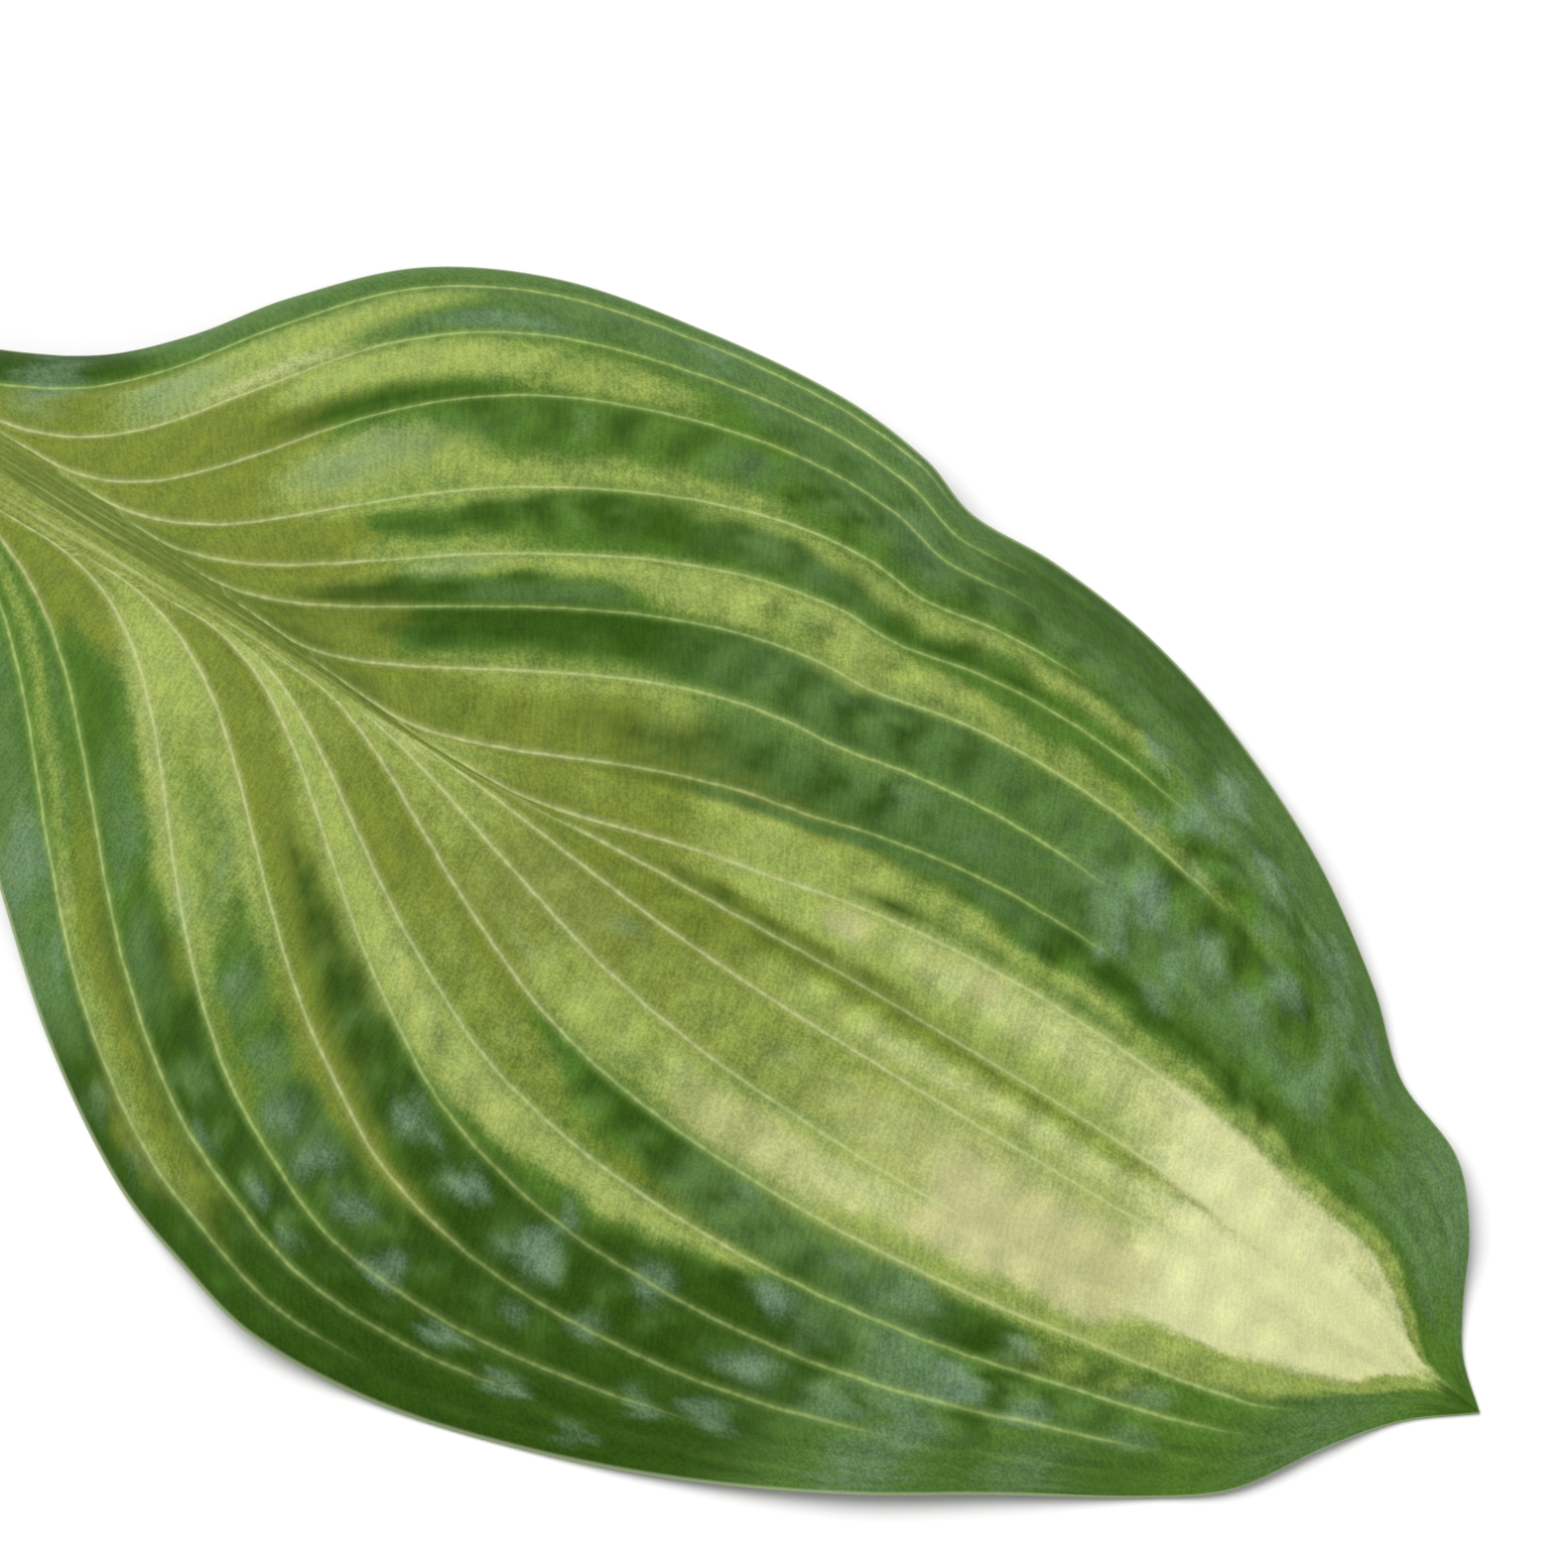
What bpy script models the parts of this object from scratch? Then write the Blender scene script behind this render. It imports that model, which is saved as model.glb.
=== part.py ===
"""Hosta leaf as cut from its plant: one waved, ribbed blade that has grown together with its
channelled petiole. It lies on a level surface with its upper side up.

+X runs from the cut end of the petiole to the tip of the blade, +Y to the leaf's left half and
+Z up. The origin is under the middle of the leaf, on the surface that it lies on. Outlines are
given in millimetres from the base of the blade, and everything else is in metres.
"""
import math

import bmesh
import bpy
import numpy as np

NODE_NAME = "hosta_leaf"
MM = 0.001

# Rails of the upper face, as x, y, height in millimetres, from the cut end to the tip.
# The petiole and the blade's tip lie on the surface, and the margins touch it at their low points.
PETIOLE_MIDDLE = [(-116, 10, 3.5), (-96, 7.6, 3.5), (-74, 4.8, 3.6), (-50, 2, 4.3)]
BLADE_MIDRIB = [(-24, 0, 6.2), (0, -1.5, 10.2), (30, -4, 16.8), (60, -5.5, 21.5), (92, -7, 23.5),
                (125, -4.5, 22), (160, -1.5, 17.5), (195, 0.5, 11.2), (222, 0, 3.9),
                (230, -0.2, 1.05), (234, -0.3, 0.74), (241, -0.5, 0.66)]
LEFT_MARGIN = [(-24, 6, 10), (-9, 8.4, 9.4), (4.5, 14, 7.5), (15.5, 22, 5.2), (23, 31.5, 3.8),
               (30, 43.5, 2.8), (41.5, 57.5, 1.8), (57.5, 66.5, 1), (78, 71, 0.65), (98, 72, 2.4),
               (113, 69.5, 4.6), (122, 66.5, 4), (134, 67.5, 1.8), (149, 66, 0.65), (164, 61, 1.7),
               (184, 51, 3), (200, 40, 2), (209.5, 31.5, 1.2), (221, 26, 2.6), (227.5, 18.5, 2.9),
               (232, 10, 1.3), (235.5, 4.5, 0.72), (241, -0.5, 0.66)]
RIGHT_MARGIN = [(-24, -6, 10), (-9, -9, 9.4), (7, -16, 7.5), (20.5, -24, 5.4), (35, -34.5, 3.8),
                (50, -46.8, 2.4), (66, -59, 1), (84, -69.5, 0.65), (98, -74.5, 2.2), (111, -77.5, 3.2),
                (128, -75.5, 1), (145.5, -70.5, 0.65), (163.5, -63.5, 1.5), (182, -54, 2.8),
                (197.5, -43.5, 2.4), (213.5, -32.5, 0.9), (221.5, -26, 1.4), (228, -15, 1.5),
                (233.5, -7, 0.74), (241, -0.5, 0.66)]
# Half the width of the petiole, and how far its rims stand over the floor of its channel
PETIOLE_HALF_WIDTH = 6.0
CHANNEL_DEPTH = 3.8

# Stations along the leaf
PETIOLE_ROWS = 10
BLADE_ROWS = 54
# The midrib runs a little ahead of the margins, so the blade's cross lines lean back
MIDRIB_LEAD = 0.85
# How the surface drops from the midrib to the margin: 2 would be a round arch
ARCH_POWER = 1.9

# Veins of each half from the midrib outwards: where along the blade each leaves the midrib,
# how far across the half it gets, and over what share of the blade it bends away
LEFT_VEINS = [(0.41, 0.15, 0.15), (0.34, 0.29, 0.17), (0.28, 0.39, 0.15), (0.23, 0.54, 0.18),
              (0.20, 0.66, 0.19), (0.17, 0.76, 0.18), (0.14, 0.84, 0.14), (0.09, 0.91, 0.13),
              (0.01, 0.97, 0.125)]
RIGHT_VEINS = [(0.36, 0.10, 0.13), (0.32, 0.25, 0.16), (0.30, 0.37, 0.15), (0.25, 0.49, 0.17),
               (0.24, 0.62, 0.18), (0.19, 0.74, 0.19), (0.16, 0.81, 0.15), (0.09, 0.87, 0.135),
               (0.07, 0.93, 0.105)]
STRIPS = len(LEFT_VEINS) + 1
# At the base the veins are a bundle as wide as the petiole, which narrows over this share
BUNDLE_LENGTH = 0.09
# Towards the tip the outer veins draw close to the margin
CROWDING = 1.5
# Grid lines nearer to each other than this run as one
LEAST_GAP = 0.9 * MM

# The blade bulges between its veins, by this share of a strip's width
BULGE_SHARE = 0.13
BULGE_LIMIT = 1.1 * MM

# Thickness of the blade, and the keel under the petiole that runs out along the midrib
BLADE_THICKNESS = 0.8 * MM
KEEL_DEPTH = 3.5 * MM
KEEL_HALF_WIDTH = 3.6 * MM
KEEL_RUNS_OUT = 0.7

# Middle of the leaf's box, from the base of the blade
BOX_MIDDLE_X = 62.4 * MM
BOX_MIDDLE_Y = -2.7 * MM

LEAF_COLOUR = (0.115, 0.235, 0.055, 1.0)
LEAF_ROUGHNESS = 0.45


def smooth_path(points, samples=1200):
    """Smooth curve through the points, as positions and their share of the whole length."""
    knots = np.array(points, float) * MM
    reach = np.concatenate([[0.0], np.cumsum(np.linalg.norm(np.diff(knots[:, :2], axis=0), axis=1))])
    slope = np.gradient(knots, axis=0)
    slope[1:-1] = (knots[2:] - knots[:-2]) / (reach[2:] - reach[:-2])[:, None]
    slope[0] = (knots[1] - knots[0]) / reach[1]
    slope[-1] = (knots[-1] - knots[-2]) / (reach[-1] - reach[-2])
    along = np.linspace(0.0, reach[-1], samples)
    span = np.clip(np.searchsorted(reach, along, side="right") - 1, 0, len(reach) - 2)
    length = (reach[span + 1] - reach[span])[:, None]
    u = (along - reach[span])[:, None] / length
    path = ((2 * u**3 - 3 * u**2 + 1) * knots[span] + (u**3 - 2 * u**2 + u) * length * slope[span]
            + (3 * u**2 - 2 * u**3) * knots[span + 1] + (u**3 - u**2) * length * slope[span + 1])
    walked = np.concatenate([[0.0], np.cumsum(np.linalg.norm(np.diff(path, axis=0), axis=1))])
    return path, walked / walked[-1]


def point_on(path, share):
    """Point of a smooth path at a share of its length."""
    positions, walked = path
    return np.array([np.interp(share, walked, positions[:, axis]) for axis in range(3)])


def vein_spread(number, vein, along):
    """Place of a vein across its half, from 0 at the midrib to 1 at the margin.

    number counts veins outwards from the midrib, and along is the share of the blade's length.
    """
    departure, reach, bend = vein
    bundle = math.exp(-along / BUNDLE_LENGTH)
    risen = 1.0 - math.exp(-(max(0.0, along - departure) / bend) ** 1.5)
    crowded = 1.0 - (1.0 - reach) ** (1.0 + CROWDING * along**4)
    return bundle * number / STRIPS + (1.0 - bundle) * crowded * risen


def half_row(middle, edge, along, veins):
    """Points of one half of a cross line, from beside the midrib out to the margin.

    There is a point on each vein and one on the crest between two veins. Each entry is the
    point and its distance from the midrib. Lines that run together share an entry, so that
    they share a vertex later.
    """
    chord = float(np.linalg.norm(edge - middle))
    spreads = [vein_spread(number, vein, along) for number, vein in enumerate(veins, start=1)]
    on_veins = [0.0] + spreads + [1.0]
    entries = []
    kept, last = (middle, 0.0), 0.0
    for inner, outer in zip(on_veins, on_veins[1:]):
        bulge = min(BULGE_LIMIT, BULGE_SHARE * (outer - inner) * chord)
        for spread, lift in (((inner + outer) / 2, bulge), (outer, 0.0)):
            near_last = (spread - last) * chord < LEAST_GAP
            near_margin = 0.0 < (1.0 - spread) * chord < LEAST_GAP
            if spread == 1.0 or not (near_last or near_margin):
                point = middle + spread * (edge - middle)
                point[2] = middle[2] + (edge[2] - middle[2]) * spread**ARCH_POWER + lift
                kept, last = (point, spread * chord), spread
            entries.append(kept)
    return entries


def petiole_sections():
    """Middle, left edge and right edge of the petiole's cross lines, from the cut end on."""
    path = smooth_path(PETIOLE_MIDDLE + BLADE_MIDRIB[:1])
    sections = []
    for row in range(PETIOLE_ROWS):
        share = row / PETIOLE_ROWS
        middle = point_on(path, share)
        side = np.array([0.0, PETIOLE_HALF_WIDTH * MM, CHANNEL_DEPTH * MM])
        sections.append((middle, middle + side, middle + side * (1, -1, 1), 0.0))
    return sections


def blade_sections():
    """Middle, left edge and right edge of the blade's cross lines, from its base to its tip."""
    midrib, left, right = (smooth_path(rail) for rail in (BLADE_MIDRIB, LEFT_MARGIN, RIGHT_MARGIN))
    sections = []
    for row in range(BLADE_ROWS + 1):
        along = row / BLADE_ROWS
        sections.append((point_on(midrib, along**MIDRIB_LEAD), point_on(left, along),
                         point_on(right, along), along))
    return sections


def keel(along, distance):
    """How much thicker than the blade the leaf is at a distance from its midrib."""
    fading = max(0.0, 1.0 - along / KEEL_RUNS_OUT) ** 2
    return KEEL_DEPTH * fading * math.exp(-(distance / KEEL_HALF_WIDTH) ** 2)


def upper_face():
    """The leaf's upper face as a sheet of triangles, and the thickness wanted at each vertex."""
    sheet = bmesh.new()
    thickness = []
    rows = []
    for middle, left_edge, right_edge, along in petiole_sections() + blade_sections():
        left = half_row(middle, left_edge, along, LEFT_VEINS)
        right = half_row(middle, right_edge, along, RIGHT_VEINS)
        row = []
        found = {}
        for point, distance in left[::-1] + [(middle, 0.0)] + right:
            place = tuple(np.round(point, 7))
            if place not in found:
                found[place] = sheet.verts.new(place)
                thickness.append(BLADE_THICKNESS + keel(along, distance))
            row.append(found[place])
        rows.append(row)
    for back, front in zip(rows, rows[1:]):
        for column in range(len(back) - 1):
            corners = (back[column], back[column + 1], front[column + 1], front[column])
            for triangle in (corners[:3], (corners[0], corners[2], corners[3])):
                if len(set(triangle)) == 3:
                    sheet.faces.new(triangle)
    bmesh.ops.translate(sheet, verts=sheet.verts, vec=(-BOX_MIDDLE_X, -BOX_MIDDLE_Y, 0.0))
    return sheet, thickness


def leaf_material():
    """Plain waxy green of the leaf."""
    material = bpy.data.materials.new("leaf_tissue")
    material.use_nodes = True
    surface = material.node_tree.nodes["Principled BSDF"]
    surface.inputs["Base Color"].default_value = LEAF_COLOUR
    surface.inputs["Roughness"].default_value = LEAF_ROUGHNESS
    surface.inputs["Metallic"].default_value = 0.0
    return material


def thickened(sheet, thickness):
    """Closed mesh of the leaf: the sheet given its thickness downwards, along its normals."""
    flat = bpy.data.meshes.new("upper_face")
    sheet.to_mesh(flat)
    sheet.free()
    guide = bpy.data.objects.new("upper_face", flat)
    bpy.context.collection.objects.link(guide)
    deepest = max(thickness)
    group = guide.vertex_groups.new(name="thickness")
    for index, depth in enumerate(thickness):
        group.add([index], depth / deepest, "REPLACE")
    solidify = guide.modifiers.new("thickness", "SOLIDIFY")
    solidify.thickness = deepest
    solidify.offset = -1.0
    solidify.vertex_group = group.name
    solid = bpy.data.meshes.new_from_object(guide.evaluated_get(bpy.context.evaluated_depsgraph_get()))
    bpy.data.objects.remove(guide)
    return solid


def build_leaf():
    """The whole leaf as one object."""
    mesh = thickened(*upper_face())
    mesh.name = NODE_NAME
    # The keel and the low points of the margins are pressed flat where they rest
    for vertex in mesh.vertices:
        vertex.co.z = max(vertex.co.z, 0.0)
    mesh.materials.clear()
    mesh.materials.append(leaf_material())
    leaf = bpy.data.objects.new(NODE_NAME, mesh)
    bpy.context.collection.objects.link(leaf)
    return leaf


def main():
    """Clear the scene and build the leaf."""
    for old in list(bpy.data.objects):
        bpy.data.objects.remove(old, do_unlink=True)
    build_leaf()


if __name__ == "__main__":
    main()
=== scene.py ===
"""Looks of the hosta leaf: its veined, puckered surface, its variegation, and a pale studio.

The leaf is one grown piece. It lies along +X from the cut end of its petiole to its tip, with its
left half towards +Y and its upper side up. Outlines are given in millimetres from the base of the
blade, as in the part's own source, and everything that goes into Blender is in metres.
"""
import logging
import math
from dataclasses import dataclass
from enum import Enum

import bpy
import numpy as np
from mathutils import Matrix, Vector


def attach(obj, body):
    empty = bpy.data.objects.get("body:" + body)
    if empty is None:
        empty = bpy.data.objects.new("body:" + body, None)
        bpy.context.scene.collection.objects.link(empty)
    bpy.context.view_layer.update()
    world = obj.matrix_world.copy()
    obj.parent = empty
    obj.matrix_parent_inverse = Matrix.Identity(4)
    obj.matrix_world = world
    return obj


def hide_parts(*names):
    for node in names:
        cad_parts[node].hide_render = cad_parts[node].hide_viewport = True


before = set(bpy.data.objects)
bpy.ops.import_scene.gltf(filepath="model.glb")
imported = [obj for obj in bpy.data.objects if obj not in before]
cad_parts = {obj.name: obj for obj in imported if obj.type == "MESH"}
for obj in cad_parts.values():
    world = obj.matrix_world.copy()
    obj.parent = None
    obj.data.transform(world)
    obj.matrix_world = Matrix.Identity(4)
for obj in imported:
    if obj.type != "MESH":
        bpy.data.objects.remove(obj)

MM = 0.001
LOG = logging.getLogger("hosta_leaf")

# Size of the table of random numbers behind every drift, and points along a smooth line
DRIFT_TABLE = (97, 89)
RAIL_STEPS = 1600
# Added before a value is rounded down, so that a vein belongs to the strip outside it
NUDGE = 1e-9
# The strips' random numbers are drawn together, and the first strip of the left half takes this one
STRIPS_DRAWN = 48
FIRST_STRIP = 20.0

Point = tuple[float, float, float]
Colour = tuple[float, float, float, float]
Array = np.ndarray
Piece = bpy.types.Object
Socket = bpy.types.NodeSocket
Sockets = bpy.types.NodeOutputs


class Half(Enum):
    """Half of the blade, seen from its base with the upper side up."""

    LEFT = 1
    RIGHT = -1


class Tone(Enum):
    """Colour of the tissue, or of the painted sheen and shade laid over it, by the name of the attribute that says
    how much of it there is.
    """

    OLIVE = "olive"
    LIME = "lime"
    BEIGE = "beige"
    CREAM = "cream"
    BLUE = "blue"
    DEEP = "deep"
    # Waxy coat with painted sheen over it, on the puckers and crests
    BLOOM = "bloom_and_painted_light"


def linear(red: float, green: float, blue: float) -> Colour:
    """Turn a colour as it looks on a screen into the one that light is reckoned with.

    Args:
        red: Red, 0 to 255.
        green: Green, 0 to 255.
        blue: Blue, 0 to 255.

    Returns:
        The linear colour, opaque.
    """
    parts = [value / 255.0 for value in (red, green, blue)]
    parts = [p / 12.92 if p <= 0.04045 else ((p + 0.055) / 1.055) ** 2.4 for p in parts]
    return (parts[0], parts[1], parts[2], 1.0)


def ease(value: Array) -> Array:
    """Turn a value that runs through 0 to 1 into a soft step."""
    held = np.clip(value, 0.0, 1.0)
    return held * held * (3.0 - 2.0 * held)


def rises(value: Array, start: float, over: float) -> Array:
    """Soft step up that begins at a value and takes a given span."""
    return ease((value - start) / over)


def falls(value: Array, end: Array | float, over: float) -> Array:
    """Soft step down that ends at a value and takes a given span."""
    return ease((end - value) / over)


def drift(first: Array, second: Array, seed: int) -> Array:
    """Smooth random unevenness over two coordinates, one bump to a unit.

    Args:
        first: First coordinate.
        second: Second coordinate, of the same shape.
        seed: Start of the random draw.

    Returns:
        Values from -1 to 1.
    """
    rows, columns = DRIFT_TABLE
    table = np.random.default_rng(seed).uniform(-1.0, 1.0, DRIFT_TABLE)
    row, column = np.floor(first).astype(int), np.floor(second).astype(int)
    down, over = ease(first - row), ease(second - column)
    corners = [table[(row + i) % rows, (column + j) % columns] for i in (0, 1) for j in (0, 1)]
    near = corners[0] * (1.0 - over) + corners[1] * over
    far = corners[2] * (1.0 - over) + corners[3] * over
    return near * (1.0 - down) + far * down


@dataclass(frozen=True)
class Unevenness:
    """Random unevenness over the leaf.

    Attributes:
        along: Bumps along the length of the blade.
        across: Bumps across one strip.
        seed: Start of the random draw.
        share: How strong it is.
    """

    along: float
    across: float
    seed: int
    share: float = 1.0

    def at(self, along: Array, across: Array) -> Array:
        """Its values at points of the leaf."""
        return self.share * drift(along * self.along, across * self.across, self.seed)


@dataclass(frozen=True)
class Stretch:
    """Stretch of the leaf in which something shows, with a soft beginning and end.

    Attributes:
        start: Where it begins.
        rise: Span in which it comes up.
        end: Where it ends.
        fall: Span in which it fades, before the end.
    """

    start: float
    rise: float
    end: float
    fall: float

    def at(self, value: Array) -> Array:
        """How much of it there is at given values, from 0 to 1."""
        return rises(value, self.start, self.rise) * falls(value, self.end, self.fall)


@dataclass(frozen=True)
class Rail:
    """Smooth line through a few points in millimetres."""

    points: tuple[Point, ...]

    def at(self, shares: Array) -> Array:
        """Places on the line.

        Args:
            shares: Shares of the line's length, 0 to 1.

        Returns:
            One point for each share, in metres.
        """
        knots = np.array(self.points, float) * MM
        reach = np.concatenate([[0.0], np.cumsum(np.linalg.norm(np.diff(knots[:, :2], axis=0), axis=1))])
        slope = np.zeros_like(knots)
        slope[1:-1] = (knots[2:] - knots[:-2]) / (reach[2:] - reach[:-2])[:, None]
        slope[0] = (knots[1] - knots[0]) / reach[1]
        slope[-1] = (knots[-1] - knots[-2]) / (reach[-1] - reach[-2])
        along = np.linspace(0.0, reach[-1], RAIL_STEPS)
        span = np.clip(np.searchsorted(reach, along, side="right") - 1, 0, len(reach) - 2)
        length = (reach[span + 1] - reach[span])[:, None]
        u = (along - reach[span])[:, None] / length
        path = ((2 * u**3 - 3 * u**2 + 1) * knots[span] + (u**3 - 2 * u**2 + u) * length * slope[span]
                + (3 * u**2 - 2 * u**3) * knots[span + 1] + (u**3 - u**2) * length * slope[span + 1])
        walked = np.concatenate([[0.0], np.cumsum(np.linalg.norm(np.diff(path, axis=0), axis=1))])
        walked /= walked[-1]
        return np.stack([np.interp(shares, walked, path[:, axis]) for axis in range(3)], axis=-1)


@dataclass(frozen=True)
class Vein:
    """Side vein: where it leaves the midrib and how it runs.

    Attributes:
        departure: Share of the blade's length at which it leaves the midrib.
        reach: How far across its half it gets, from 0 at the midrib to 1 at the margin.
        bend: Share of the blade over which it bends away.
        runs_out: Share of the blade at which its pale line fades.
    """

    departure: float
    reach: float
    bend: float
    runs_out: float


@dataclass(frozen=True)
class Streak:
    """Streak of one tone between two veins, or from part of a strip to part of another.

    Attributes:
        half: Half of the blade that it lies in.
        tone: Its tone.
        stations: Its course: share of the blade's length, inner edge and outer edge, both edges
            counted in veins from the midrib.
        strength: How much of the tone there is in its middle.
        soft: Width of its edges in strips.
        fade: Share of the blade over which its ends fade.
    """

    half: Half
    tone: Tone
    stations: tuple[tuple[float, float, float], ...]
    strength: float = 1.0
    soft: float = 0.42
    fade: float = 0.04

    def amount(self, along: Array, across: Array) -> Array:
        """How much of the streak there is at points of the leaf.

        Args:
            along: Share of the blade's length, under 0 on the petiole.
            across: Veins from the midrib, positive in the left half.

        Returns:
            Amounts from 0 to the streak's strength.
        """
        course = np.array(self.stations)
        number = across * self.half.value
        inner = np.interp(along, course[:, 0], course[:, 1])
        outer = np.interp(along, course[:, 0], course[:, 2])
        sides = ease((number - inner) / self.soft + 0.5) * ease((outer - number) / self.soft + 0.5)
        ends = ease((along - course[0, 0]) / self.fade + 0.5) * ease((course[-1, 0] - along) / self.fade + 0.5)
        return self.strength * sides * ends


@dataclass(frozen=True)
class Pucker:
    """Small swelling of the blade with a waxy coat and painted sheen on it, or a hollow with painted shade in it.

    Attributes:
        half: Half of the blade that it lies in.
        along: Share of the blade's length.
        number: Its place in veins from the midrib.
        length: Its reach along the veins in millimetres.
        width: Its reach across the veins, in strips.
        lift: How far it stands up, in millimetres; under 0 it is a hollow.
        bloom_and_painted_light: How strong the waxy coat and painted sheen on it are, from 0 to 1, or how dark its
            painted shade is where it is a hollow.
        foot: How much further than its stated reach its foot runs out.
        roundness: How flat its top is, from 1 for a bell.
        fall: How quickly its foot falls away.
    """

    half: Half
    along: float
    number: float
    length: float = 4.0
    width: float = 0.34
    lift: float = 0.2
    bloom_and_painted_light: float = 0.6
    foot: float = 1.2
    roundness: float = 1.6
    fall: float = 2.2

    def rise(self, along: Array, across: Array, blade_length: float) -> Array:
        """How much of the swelling there is at points of the leaf.

        Args:
            along: Share of the blade's length.
            across: Veins from the midrib, positive in the left half.
            blade_length: Length of the blade in millimetres.

        Returns:
            Shares from 0 to 1.
        """
        ahead = (along - self.along) * blade_length / self.length / self.foot
        aside = (across * self.half.value - self.number) / self.width / self.foot
        return np.exp(-((ahead**2 + aside**2) ** self.roundness) * self.fall)


L, R = Half.LEFT, Half.RIGHT

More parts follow.
